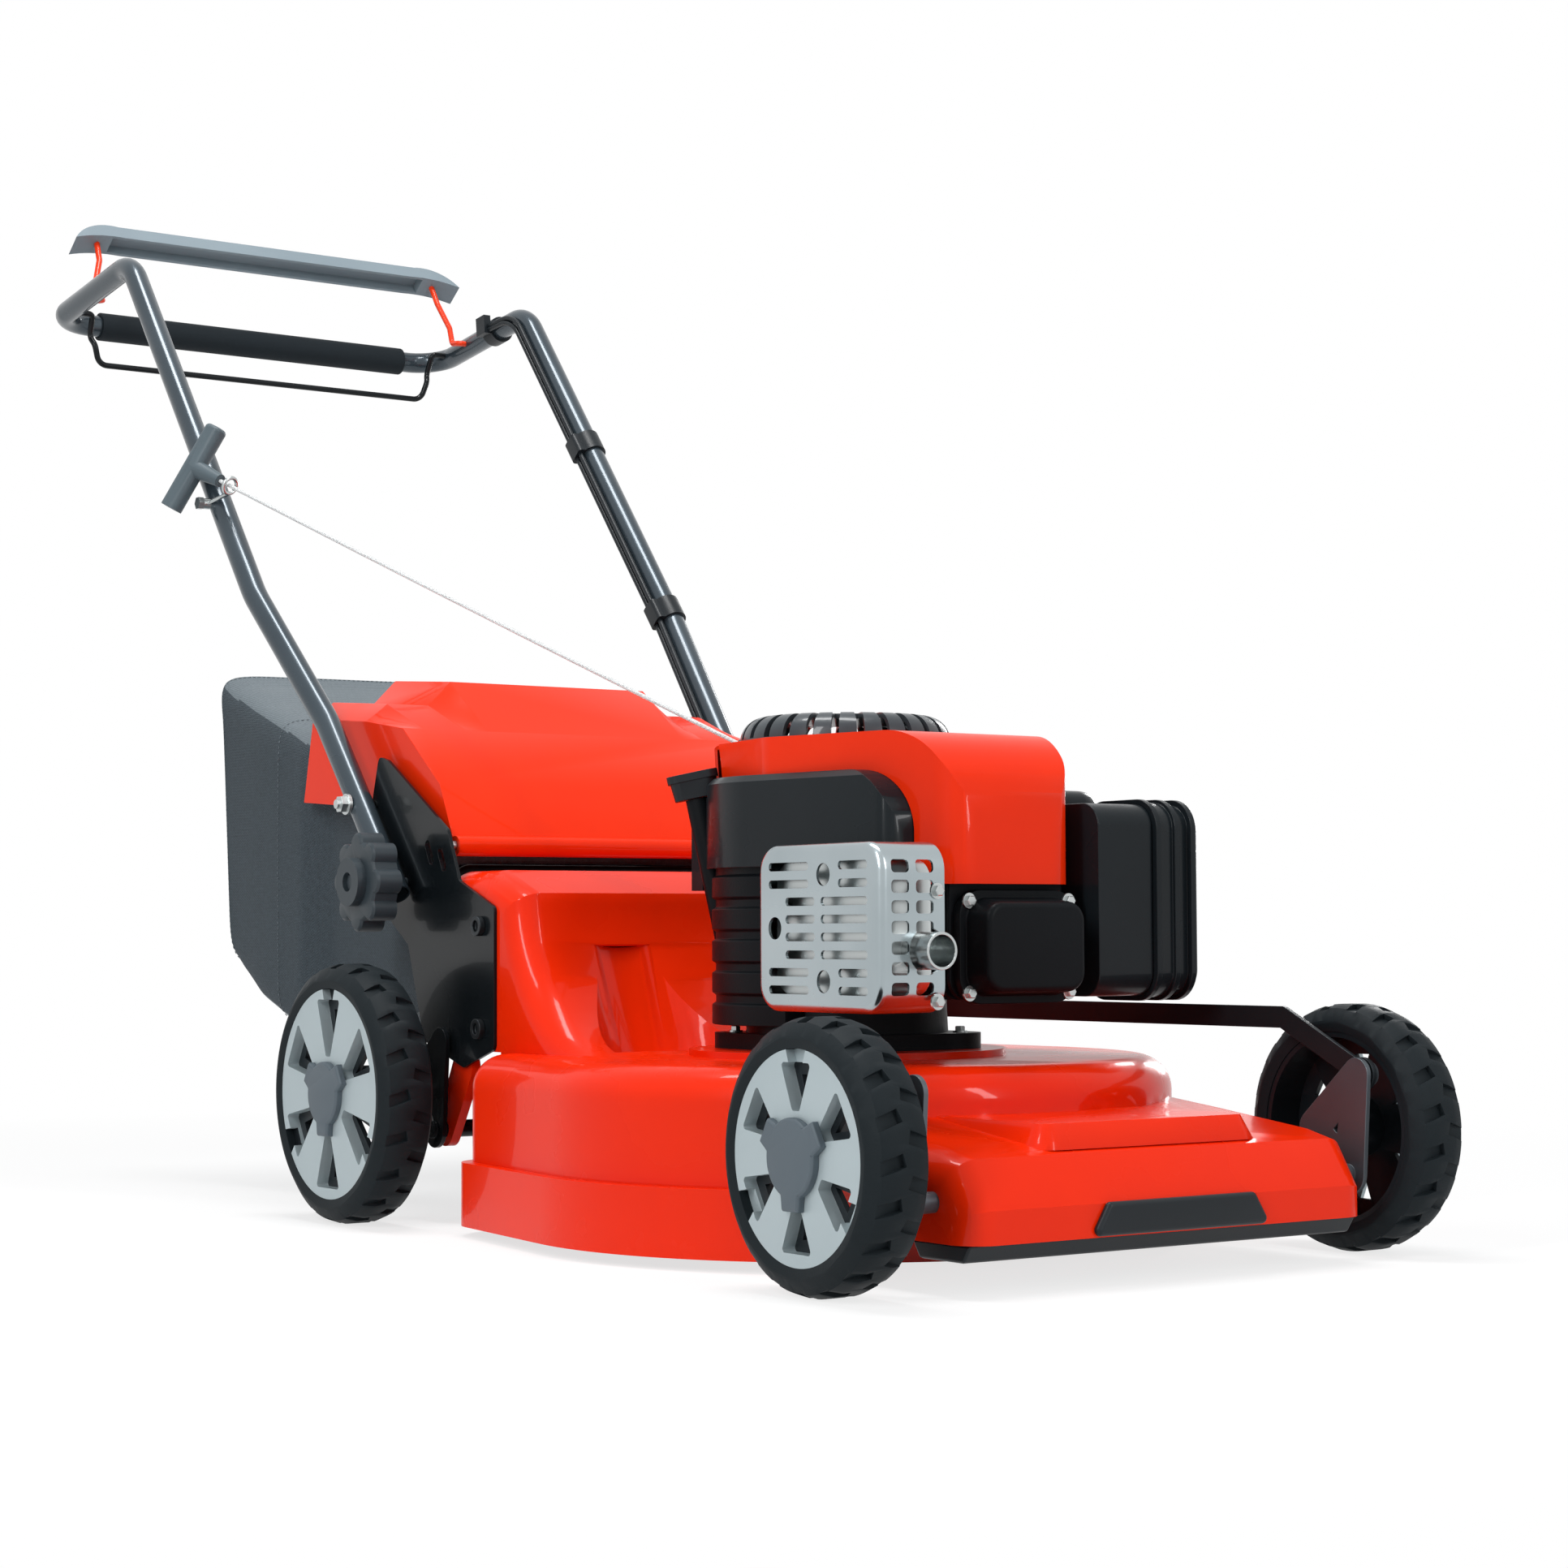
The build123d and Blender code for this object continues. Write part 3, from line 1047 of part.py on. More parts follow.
def make_parts():
    parts = {"deck": deck()}
    parts["nose_bumper"] = bumper()
    parts["front_skid"] = skid()
    parts["side_brackets"] = both_sides(side_bracket())
    parts["bracket_bolts"] = bracket_bolts()
    for side, name in ((1, "left"), (-1, "right")):
        parts["star_knob_" + name] = knob(side)
    ends = {"front": (FRONT_AXLE, FRONT_WHEEL_R, FRONT_WHEEL_OUT_Y), "rear": (REAR_AXLE, REAR_WHEEL_R, REAR_WHEEL_OUT_Y)}
    for end, sizes in ends.items():
        for name, shapes in wheel_pair(*sizes).items():
            for piece, shape in zip(("tyre", "wheel_disc", "hub_cap"), shapes):
                parts[f"{piece}_{end}_{name}"] = shape
    parts["front_arms"] = front_arms()
    parts["rear_arms"] = rear_arms()
    parts["drive_axle"] = drive_axle()
    parts["gearbox"] = gearbox()
    parts.update(height_lever())
    parts["height_link"] = height_link()
    parts["handle_tube"] = handle_tube()
    parts["handle_bolts"] = stop_bolts()
    parts["grip_sleeve"] = grip_sleeve()
    parts["bail_blade"] = bail_blade()
    parts["bail_wires"] = bail_wires()
    parts["drive_bail"] = drive_bail()
    parts["rope_guide"] = rope_guide()
    parts["starter_rope"] = starter_rope()
    parts["rope_tail"] = rope_tail()
    parts["pull_grip"] = pull_grip()
    parts["bowden_cables"] = bowden_cables()
    parts["cable_tails"] = cable_tails()
    parts["cable_holders"] = [clip_at(0.45), clip_at(0.97), cable_bracket()]
    parts["rear_flap"] = flap()
    parts["flap_pin"] = flap_pin()
    parts["collector_bag"] = collector_bag()
    parts["collector_frame"] = collector_frame()
    parts["crankcase"] = crankcase()
    parts["cylinder_block"] = cylinder_block()
    parts["valve_cover"] = valve_cover()
    parts["blower_shroud"] = shroud()
    parts["top_hood"] = hood()
    parts["recoil_cover"] = recoil_cover()
    parts["fuel_tank"] = fuel_tank()
    parts["fuel_cap"] = fuel_cap()
    parts["air_filter_base"] = filter_base()
    parts["air_filter_cover"] = filter_cover()
    parts["muffler"] = muffler()
    parts["muffler_guard"] = muffler_guard()
    parts["oil_filler_cap"] = dipstick()
    parts["crankshaft"] = crankshaft()
    parts["blade"] = blade()
    parts["blade_mount"] = [blade_adapter(), blade_bolt()]
    return parts


def solids_of(shape):
    if isinstance(shape, list):
        return [solid for item in shape for solid in solids_of(item)]
    return shape.solids()


def placed_parts():
    """All pieces, moved so that the origin is the middle of the footprint."""
    parts = {name: solids_of(shape) for name, shape in make_parts().items()}
    box = Compound([solid for solids in parts.values() for solid in solids]).bounding_box()
    shift = Vector(-(box.min.X + box.max.X) / 2, 0, -box.min.Z)
    placed = {name: [Pos(shift) * solid for solid in solids] for name, solids in parts.items()}
    return placed, shift


def main():
    os.makedirs("parts", exist_ok=True)
    placed, shift = placed_parts()
    for name, solids in placed.items():
        shape = solids[0] if len(solids) == 1 else Compound(children=solids)
        export_step(shape, f"parts/{name}.step")
    print("origin shift", round(shift.X, 3), round(shift.Y, 3), round(shift.Z, 3))


if __name__ == "__main__":
    main()
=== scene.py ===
import json
import math
import bpy
import bmesh
from mathutils import Matrix, Vector, noise


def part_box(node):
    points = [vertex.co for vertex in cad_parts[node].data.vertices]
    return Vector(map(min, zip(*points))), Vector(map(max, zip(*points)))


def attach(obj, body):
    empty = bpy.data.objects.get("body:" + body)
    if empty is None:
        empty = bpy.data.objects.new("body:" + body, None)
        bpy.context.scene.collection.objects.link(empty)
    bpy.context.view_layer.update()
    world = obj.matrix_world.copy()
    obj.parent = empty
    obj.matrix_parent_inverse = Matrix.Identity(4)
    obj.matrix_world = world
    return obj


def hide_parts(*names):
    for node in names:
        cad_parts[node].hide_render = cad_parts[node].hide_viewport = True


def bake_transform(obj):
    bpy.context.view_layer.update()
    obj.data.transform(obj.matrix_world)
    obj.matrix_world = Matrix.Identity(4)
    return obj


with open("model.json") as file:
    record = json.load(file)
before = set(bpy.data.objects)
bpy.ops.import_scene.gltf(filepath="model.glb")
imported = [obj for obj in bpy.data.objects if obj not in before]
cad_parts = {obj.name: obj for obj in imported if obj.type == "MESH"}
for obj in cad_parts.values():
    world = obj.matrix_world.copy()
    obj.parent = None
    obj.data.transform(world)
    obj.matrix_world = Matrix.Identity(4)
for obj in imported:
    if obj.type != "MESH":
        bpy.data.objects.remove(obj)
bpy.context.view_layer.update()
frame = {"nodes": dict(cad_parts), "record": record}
print("frame loaded:", len(frame["nodes"]), "nodes")

mm = 0.001
axleRadius = 6 * mm
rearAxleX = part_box("drive_axle")[0].x + axleRadius  # the pieces are placed from the ground below the rear axle
bodyOfNode = {node: body for body, nodes in frame["record"]["behaviour"]["bodies"].items() for node in nodes}


def atMm(x, y, z):
    return Vector((rearAxleX + x * mm, y * mm, z * mm))


def addObject(name, data):
    item = bpy.data.objects.new(name, data)
    bpy.context.scene.collection.objects.link(item)
    return item


def meshFrom(work, name):
    mesh = bpy.data.meshes.new(name)
    work.to_mesh(mesh)
    work.free()
    return mesh


def evaluatedMesh(item):
    bpy.context.view_layer.update()
    return bpy.data.meshes.new_from_object(item.evaluated_get(bpy.context.evaluated_depsgraph_get()))


def shadeFrom(mesh, angle):
    mesh.shade_smooth()
    mesh.set_sharp_from_angle(angle=math.radians(angle))


def addWall(piece, thickness):
    solid = piece.modifiers.new("wall", "SOLIDIFY")
    solid.thickness = thickness * mm
    solid.offset = -1.0  # the wall grows inwards


# shader groups that several finishes share


def newGroup(name, inputs, outputs):
    group = bpy.data.node_groups.new(name, "ShaderNodeTree")
    for label, kind, value in inputs:
        socket = group.interface.new_socket(label, in_out="INPUT", socket_type=kind)
        if value is not None:
            socket.default_value = value
    for label, kind in outputs:
        group.interface.new_socket(label, in_out="OUTPUT", socket_type=kind)
    return group, group.nodes.new("NodeGroupInput"), group.nodes.new("NodeGroupOutput")


def mathNode(tree, operation, first, second=None):
    node = tree.nodes.new("ShaderNodeMath")
    node.operation = operation
    for socket, value in zip(node.inputs, (first, second)):
        if value is None:
            continue
        if isinstance(value, (int, float)):
            socket.default_value = value
        else:
            tree.links.new(value, socket)
    return node.outputs[0]


def makeGrainGroup(fineDetail=3.0, broadDetail=4.0):
    group, start, end = newGroup(
        "surfaceGrain",
        [("Vector", "NodeSocketVector", None), ("Scale", "NodeSocketFloat", 400.0), ("Cloud", "NodeSocketFloat", 9.0)],
        [("Grain", "NodeSocketFloat"), ("Cloud", "NodeSocketFloat")],
    )
    fine = group.nodes.new("ShaderNodeTexNoise")
    fine.inputs["Detail"].default_value = fineDetail
    broad = group.nodes.new("ShaderNodeTexNoise")
    broad.inputs["Detail"].default_value = broadDetail
    for node, label in ((fine, "Scale"), (broad, "Cloud")):
        group.links.new(start.outputs["Vector"], node.inputs["Vector"])
        group.links.new(start.outputs[label], node.inputs["Scale"])
    group.links.new(fine.outputs["Fac"], end.inputs["Grain"])
    group.links.new(broad.outputs["Fac"], end.inputs["Cloud"])
    return group


def makeWeaveGroup(slubScale=320.0):
    group, start, end = newGroup(
        "plainWeave",
        [("Vector", "NodeSocketVector", None), ("Threads", "NodeSocketFloat", 900.0)],
        [("Height", "NodeSocketFloat"), ("Shade", "NodeSocketFloat")],
    )
    split = group.nodes.new("ShaderNodeSeparateXYZ")
    group.links.new(start.outputs["Vector"], split.inputs[0])
    waves = []
    for axis in ("X", "Y", "Z"):
        turn = mathNode(group, "MULTIPLY", split.outputs[axis], start.outputs["Threads"])
        waves.append(mathNode(group, "SINE", turn))
    across = mathNode(group, "MULTIPLY", waves[0], waves[2])
    along = mathNode(group, "MULTIPLY", waves[1], waves[2])
    height = mathNode(group, "ADD", across, along)
    slub = group.nodes.new("ShaderNodeTexNoise")
    slub.inputs["Scale"].default_value = slubScale
    group.links.new(start.outputs["Vector"], slub.inputs["Vector"])
    group.links.new(mathNode(group, "ADD", height, slub.outputs["Fac"]), end.inputs["Height"])
    group.links.new(slub.outputs["Fac"], end.inputs["Shade"])
    return group


grainGroup = makeGrainGroup()
weaveGroup = makeWeaveGroup()


def emptyTree(holder):
    holder.use_nodes = True
    holder.node_tree.nodes.clear()
    return holder.node_tree


def newMaterial(name):
    material = bpy.data.materials.new(name)
    tree = emptyTree(material)
    shader = tree.nodes.new("ShaderNodeBsdfPrincipled")
    output = tree.nodes.new("ShaderNodeOutputMaterial")
    tree.links.new(shader.outputs[0], output.inputs["Surface"])
    place = tree.nodes.new("ShaderNodeTexCoord")
    return material, tree, shader, place.outputs["Object"]


def mixColors(tree, factor, first, second):
    mix = tree.nodes.new("ShaderNodeMix")
    mix.data_type = "RGBA"
    mix.inputs["A"].default_value = (*first, 1)
    mix.inputs["B"].default_value = (*second, 1)
    tree.links.new(factor, mix.inputs["Factor"])
    return mix.outputs["Result"]


def mapRange(tree, value, low, high, fromLow=0.3, fromHigh=0.7):
    node = tree.nodes.new("ShaderNodeMapRange")
    for label, number in (("From Min", fromLow), ("From Max", fromHigh), ("To Min", low), ("To Max", high)):
        node.inputs[label].default_value = number
    tree.links.new(value, node.inputs["Value"])
    return node.outputs["Result"]


def bumpFrom(tree, height, strength, distance):
    bump = tree.nodes.new("ShaderNodeBump")
    bump.inputs["Strength"].default_value = strength
    bump.inputs["Distance"].default_value = distance
    tree.links.new(height, bump.inputs["Height"])
    return bump.outputs["Normal"]


def makeFinish(name, settings):
    material, tree, shader, place = newMaterial(name)
    grain = tree.nodes.new("ShaderNodeGroup")
    grain.node_tree = grainGroup
    grain.inputs["Scale"].default_value = settings["grain"]
    tree.links.new(place, grain.inputs["Vector"])
    color = mixColors(tree, grain.outputs["Cloud"], settings["dark"], settings["light"])
    tree.links.new(color, shader.inputs["Base Color"])
    low, high = settings["rough"]
    tree.links.new(mapRange(tree, grain.outputs["Cloud"], low, high), shader.inputs["Roughness"])
    bump = bumpFrom(tree, grain.outputs["Grain"], settings["bump"], settings.get("depth", 0.0002))
    tree.links.new(bump, shader.inputs["Normal"])
    shader.inputs["Metallic"].default_value = settings.get("metal", 0.0)
    shader.inputs["Coat Weight"].default_value = settings.get("coat", 0.0)
    shader.inputs["Coat Roughness"].default_value = settings.get("coatRough", 0.05)
    shader.inputs["Specular IOR Level"].default_value = settings.get("specular", 0.5)
    return material


finishes = {
    "deckPaint": {"dark": (0.74, 0.018, 0.001), "light": (0.84, 0.026, 0.001), "rough": (0.24, 0.32), "grain": 260,
                  "bump": 0.02, "coat": 0.22, "coatRough": 0.03, "specular": 0.05},
    "orangeShell": {"dark": (0.76, 0.022, 0.001), "light": (0.86, 0.032, 0.002), "rough": (0.28, 0.38), "grain": 420,
                    "bump": 0.03, "coat": 0.20, "coatRough": 0.05, "specular": 0.05},
    "orangeWire": {"dark": (0.72, 0.034, 0.004), "light": (0.84, 0.050, 0.008), "rough": (0.3, 0.4), "grain": 500,
                   "bump": 0.04, "coat": 0.3, "specular": 0.15},
    "blackPaint": {"dark": (0.003, 0.005, 0.006), "light": (0.007, 0.009, 0.011), "rough": (0.20, 0.32), "grain": 500,
                   "bump": 0.05, "coat": 0.15, "specular": 0.12},
    "tubePaint": {"dark": (0.032, 0.046, 0.058), "light": (0.048, 0.066, 0.080), "rough": (0.22, 0.32), "grain": 700,
                  "bump": 0.04, "coat": 0.4, "metal": 0.4, "specular": 0.2},
    "blackPlastic": {"dark": (0.007, 0.010, 0.012), "light": (0.013, 0.017, 0.021), "rough": (0.30, 0.44), "grain": 900,
                     "bump": 0.10, "specular": 0.22},
    "shroudPlastic": {"dark": (0.006, 0.009, 0.011), "light": (0.011, 0.015, 0.018), "rough": (0.24, 0.34),
                      "grain": 800, "bump": 0.06, "coat": 0.12, "specular": 0.10},
    "knobPlastic": {"dark": (0.022, 0.031, 0.038), "light": (0.034, 0.046, 0.054), "rough": (0.40, 0.54), "grain": 1100,
                    "bump": 0.14, "specular": 0.25},
    "capPlastic": {"dark": (0.070, 0.092, 0.108), "light": (0.096, 0.122, 0.142), "rough": (0.42, 0.55), "grain": 1000,
                   "bump": 0.12, "specular": 0.3},
    "gripPlastic": {"dark": (0.065, 0.090, 0.104), "light": (0.088, 0.116, 0.132), "rough": (0.40, 0.52), "grain": 1000,
                    "bump": 0.12, "specular": 0.3},
    "bladePlastic": {"dark": (0.170, 0.215, 0.245), "light": (0.225, 0.280, 0.310), "rough": (0.32, 0.44),
                     "grain": 900, "bump": 0.08, "specular": 0.35},
    "grillePlastic": {"dark": (0.026, 0.034, 0.040), "light": (0.042, 0.052, 0.060), "rough": (0.26, 0.36),
                      "grain": 900, "bump": 0.08, "coat": 0.25, "specular": 0.2},
    "silverPaint": {"dark": (0.34, 0.41, 0.43), "light": (0.44, 0.51, 0.53), "rough": (0.30, 0.42), "grain": 1400,
                    "bump": 0.06, "metal": 0.3, "specular": 0.3},
    "guardSteel": {"dark": (0.30, 0.35, 0.37), "light": (0.50, 0.56, 0.58), "rough": (0.18, 0.32), "grain": 340,
                   "bump": 0.05, "metal": 1.0},
    "zincSteel": {"dark": (0.40, 0.43, 0.43), "light": (0.60, 0.63, 0.63), "rough": (0.24, 0.40), "grain": 600,
                  "bump": 0.08, "metal": 1.0},
    "darkSteel": {"dark": (0.020, 0.024, 0.027), "light": (0.036, 0.042, 0.047), "rough": (0.36, 0.50), "grain": 500,
                  "bump": 0.10, "metal": 0.8},
    "plateSteel": {"dark": (0.070, 0.082, 0.094), "light": (0.115, 0.132, 0.148), "rough": (0.28, 0.40), "grain": 700,
                   "bump": 0.06, "metal": 0.6, "specular": 0.3},
    "linkSteel": {"dark": (0.012, 0.015, 0.018), "light": (0.022, 0.026, 0.030), "rough": (0.30, 0.42), "grain": 700,
                  "bump": 0.06, "metal": 0.5, "specular": 0.2},
    "castBlack": {"dark": (0.004, 0.005, 0.006), "light": (0.008, 0.010, 0.012), "rough": (0.34, 0.48), "grain": 520,
                  "bump": 0.30, "depth": 0.0004, "specular": 0.07},
    "tyreRubber": {"dark": (0.006, 0.009, 0.011), "light": (0.011, 0.016, 0.019), "rough": (0.50, 0.66), "grain": 700,
                   "bump": 0.22, "depth": 0.0003, "specular": 0.12},
    "foamRubber": {"dark": (0.010, 0.014, 0.017), "light": (0.017, 0.023, 0.028), "rough": (0.60, 0.74), "grain": 1500,
                   "bump": 0.35, "depth": 0.0003, "specular": 0.12},
}
materials = {name: makeFinish(name, settings) for name, settings in finishes.items()}


def makeClothMaterial(name, settings):
    material, tree, shader, place = newMaterial(name)
    weave = tree.nodes.new("ShaderNodeGroup")
    weave.node_tree = weaveGroup
    weave.inputs["Threads"].default_value = settings["threads"]
    tree.links.new(place, weave.inputs["Vector"])
    color = mixColors(tree, weave.outputs["Shade"], settings["dark"], settings["light"])
    tree.links.new(color, shader.inputs["Base Color"])
    bump = bumpFrom(tree, weave.outputs["Height"], settings["bump"], settings["depth"])
    tree.links.new(bump, shader.inputs["Normal"])
    shader.inputs["Roughness"].default_value = settings["rough"]
    shader.inputs["Sheen Weight"].default_value = settings["sheen"]
    return material


cloths = {
    "bagCloth": {"threads": 2400.0, "dark": (0.016, 0.025, 0.032), "light": (0.042, 0.060, 0.074), "bump": 0.5,
                 "rough": 0.82, "sheen": 0.03, "depth": 0.0005},
    # lighter cloth: partly the bag's real lighter top panel, partly a painted highlight of the top catching the light
    "bagTrim": {"threads": 1800.0, "dark": (0.085, 0.108, 0.122), "light": (0.130, 0.160, 0.178), "bump": 0.4,
                "rough": 0.7, "sheen": 0.1, "depth": 0.0005},
    "ropeBraid": {"threads": 2600.0, "dark": (0.58, 0.60, 0.60), "light": (0.80, 0.82, 0.82), "bump": 0.6,
                  "rough": 0.75, "sheen": 0.2, "depth": 0.0005},
}
for name, settings in cloths.items():
    materials[name] = makeClothMaterial(name, settings)
print("materials ready:", len(materials))


# CAD nodes with rounded edges and their own finish


edgeStyle = {"sharp": 34.0, "flat": 0.6, "segments": 2, "weld": 0.02}  # angles in degrees, the weld in mm


def linkPiece(name, mesh, material, body, nodes=()):
    piece = addObject(name, mesh)
    mesh.materials.clear()
    mesh.materials.append(material)
    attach(piece, body)
    if nodes:
        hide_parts(*nodes)
    return piece


def mergedCopy(node):
    mesh = frame["nodes"][node].data.copy()
    mesh.name = node + "Mesh"
    work = bmesh.new()
    work.from_mesh(mesh)
    bmesh.ops.remove_doubles(work, verts=work.verts, dist=edgeStyle["weld"] * mm)
    flat = math.radians(edgeStyle["flat"])
    bmesh.ops.dissolve_limit(work, angle_limit=flat, verts=work.verts, edges=work.edges)
    work.to_mesh(mesh)
    work.free()
    return mesh


def roundEdges(piece, width):
    bevel = piece.modifiers.new("edges", "BEVEL")
    bevel.width = width * mm
    bevel.segments = edgeStyle["segments"]
    bevel.limit_method = "ANGLE"
    bevel.angle_limit = math.radians(edgeStyle["sharp"])
    bevel.harden_normals = True
    bevel.miter_outer = "MITER_ARC"
    bevel.use_clamp_overlap = True


def dressNode(node, finish, edge):
    mesh = mergedCopy(node)
    shadeFrom(mesh, edgeStyle["sharp"])
    piece = linkPiece(node + "Skin", mesh, materials[finish], bodyOfNode[node], [node])
    if edge:
        roundEdges(piece, edge)
    return piece


nodeFinish = {  # finish, and how far the edges are rounded, in mm
    "deck": ("deckPaint", 1.2), "nose_bumper": ("blackPlastic", 1), "front_skid": ("blackPlastic", 2),
    "side_brackets": ("blackPaint", 0.6), "bracket_bolts": ("darkSteel", 0.6),
    "star_knob_left": ("knobPlastic", 1.2), "star_knob_right": ("knobPlastic", 1.2),
    "front_arms": ("plateSteel", 0.5), "rear_arms": ("blackPaint", 0.5), "drive_axle": ("zincSteel", 0.5),
    "gearbox": ("blackPlastic", 2), "height_lever": ("blackPaint", 0.5),
    "height_lever_knob": ("knobPlastic", 0), "height_link": ("linkSteel", 0.6),
    "handle_tube": ("tubePaint", 0.3), "handle_bolts": ("zincSteel", 0.5), "grip_sleeve": ("foamRubber", 1),
    "bail_blade": ("bladePlastic", 1.6), "bail_wires": ("orangeWire", 0), "drive_bail": ("blackPaint", 0),
    "bowden_cables": ("blackPlastic", 0),
    "rope_guide": ("zincSteel", 0), "pull_grip": ("gripPlastic", 0.8), "cable_holders": ("blackPlastic", 0.6),
    "rear_flap": ("orangeShell", 2), "flap_pin": ("zincSteel", 0.4), "collector_frame": ("darkSteel", 0),
    "crankcase": ("castBlack", 1.5), "cylinder_block": ("castBlack", 0.6), "valve_cover": ("castBlack", 1),
    "blower_shroud": ("shroudPlastic", 1.2), "top_hood": ("orangeShell", 1),
    "recoil_cover": ("grillePlastic", 0), "fuel_tank": ("shroudPlastic", 1), "fuel_cap": ("blackPlastic", 0.8),
    "air_filter_base": ("shroudPlastic", 1), "air_filter_cover": ("shroudPlastic", 1.4),
    "muffler": ("zincSteel", 0.8), "muffler_guard": ("guardSteel", 0), "oil_filler_cap": ("blackPlastic", 1),
    "crankshaft": ("zincSteel", 0.6), "blade": ("darkSteel", 0.4), "blade_mount": ("darkSteel", 0.6),
}
for end in ("front", "rear"):
    for side in ("left", "right"):
        nodeFinish[f"tyre_{end}_{side}"] = ("tyreRubber", 1)
        nodeFinish[f"wheel_disc_{end}_{side}"] = ("silverPaint", 0.8)
        nodeFinish[f"hub_cap_{end}_{side}"] = ("capPlastic", 0.6)

skins = {node: dressNode(node, finish, edge) for node, (finish, edge) in nodeFinish.items()}

discDepth = 7 * mm  # the disc is painted silver this far in, and bare black plastic behind


def darkenInside(piece):
    outer = max(abs(vert.co.y) for vert in piece.data.vertices)
    piece.data.materials.append(materials["blackPlastic"])
    for face in piece.data.polygons:
        if outer - abs(face.center.y) > discDepth:
            face.material_index = 1


for node in nodeFinish:
    if node.startswith("wheel_disc"):
        darkenInside(skins[node])
print("CAD nodes dressed:", len(skins))


# collector bag: one lofted cloth shell, open at the mouth, sagging between its edges

bag = {
    "stations": [  # x, bottom, top, half width
        (-17, 171, 294, 164), (-60, 159, 316, 165), (-120, 143, 345, 165), (-190, 139, 375, 165),
        (-228, 138, 392, 166), (-262, 138, 419, 183), (-300, 149, 436, 187), (-345, 167, 455, 188),
        (-380, 190, 472, 188), (-398, 205, 485, 188)],
    "rear": [(204, -398), (300, -406), (430, -416), (470, -426), (486, -431)],  # rear wall: z, x
    "leanFrom": -290.0,  # behind this the loops lean with the rear wall
    "around": 96, "steps": 5, "rearLoops": 12,  # points in a loop, loops from station to station, loops on the rear
    "corner": 12.0, "rearEase": 2.5,  # a higher corner is squarer, and eases towards the middle of the rear
    "bulge": 3.0, "bulgeRise": 1.6,
    "sag": 4.0, "sagMiddle": -210.0, "sagReach": 220.0, "topSag": 0.35,  # from the mouth; the top sags less
    "wrinkle": 2.2, "folds": (7, 5, 11), "creases": (24, 21, 13), "creaseStart": 7, "creaseShare": 0.45,
    "held": 60.0,  # the frame holds the cloth this near the mouth
    "panel": 0.55,  # faces that look up or down more than this take the lighter trim cloth: partly the bag's lighter top panel, partly a painted highlight of the top catching the light
    "wall": 2.0,
}


def alongTable(table, value):
    for (a, first), (b, second) in zip(table, table[1:]):
        if value <= b:
            share = max(0.0, (value - a) / (b - a))
            return first + (second - first) * share
    return table[-1][1]


def roundedRing(bottom, top, half, power, count):
    points = []
    for i in range(count):
        angle = 2 * math.pi * i / count
        c, s = math.cos(angle), math.sin(angle)
        y = half * math.copysign(abs(c) ** (2 / power), c)
        z = (bottom + top) / 2 + (top - bottom) / 2 * math.copysign(abs(s) ** (2 / power), s)
        points.append((y, z))
    return points


def bagLoops(settings):
    stations, steps, count = settings["stations"], settings["steps"], settings["around"]
    rear, leanFrom = settings["rear"], settings["leanFrom"]
    rings = []
    for first, second in zip(stations, stations[1:]):
        rings += [[a + (b - a) * i / steps for a, b in zip(first, second)] for i in range(steps)]
    rings.append(stations[-1])
    lastX, bottom, top, half = stations[-1]
    loops = []
    for x, low, high, wide in rings:
        lean = max(0.0, min(1.0, (x - leanFrom) / (lastX - leanFrom)))
        ring = roundedRing(low, high, wide, settings["corner"], count)
        loops.append([atMm(x + (alongTable(rear, z) - lastX) * lean, y, z) for y, z in ring])
    middle = (bottom + top) / 2
    for i in range(1, settings["rearLoops"]):  # the rear panel, closed by shrinking loops
        inward = i / settings["rearLoops"]
        share = 1 - inward
        bulge = settings["bulge"] * math.sin(math.pi * min(1.0, settings["bulgeRise"] * inward) / 2)
        ring = roundedRing(bottom, top, half, settings["corner"] - settings["rearEase"] * inward, count)
        shrunk = [(y * share, middle + (z - middle) * share) for y, z in ring]
        loops.append([atMm(alongTable(rear, z) - bulge, y, z) for y, z in shrunk])
    return loops


def loftShell(loops):
    work = bmesh.new()
    rows = [[work.verts.new(point) for point in loop] for loop in loops]
    for first, second in zip(rows, rows[1:]):
        for i in range(len(first)):
            j = (i + 1) % len(first)
            work.faces.new((first[i], first[j], second[j], second[i]))
    work.faces.new(rows[-1])
    bmesh.ops.recalc_face_normals(work, faces=work.faces)
    work.normal_update()
    return work


def noiseAt(point, scales, start=0):
    x, y, z = scales
    return noise.noise(Vector((point.x * x + start, point.y * y, point.z * z)))


def sagCloth(work, settings):
    mouth = atMm(settings["stations"][0][0], 0, 0).x
    wrinkle, topSag = settings["wrinkle"], settings["topSag"]
    for vert in work.verts:
        point = vert.co
        free = min(1.0, max(0.0, (mouth - point.x) / (settings["held"] * mm)))
        behind = (point.x - mouth) / mm
        hang = max(0.0, 1 - ((behind - settings["sagMiddle"]) / settings["sagReach"]) ** 2)
        fold = noiseAt(point, settings["folds"])
        crease = noiseAt(point, settings["creases"], settings["creaseStart"])
        shift = -settings["sag"] * hang * (topSag + (1 - topSag) * abs(vert.normal.y))
        shift += wrinkle * (fold + settings["creaseShare"] * crease) - wrinkle
        vert.co = point + vert.normal * shift * mm * free


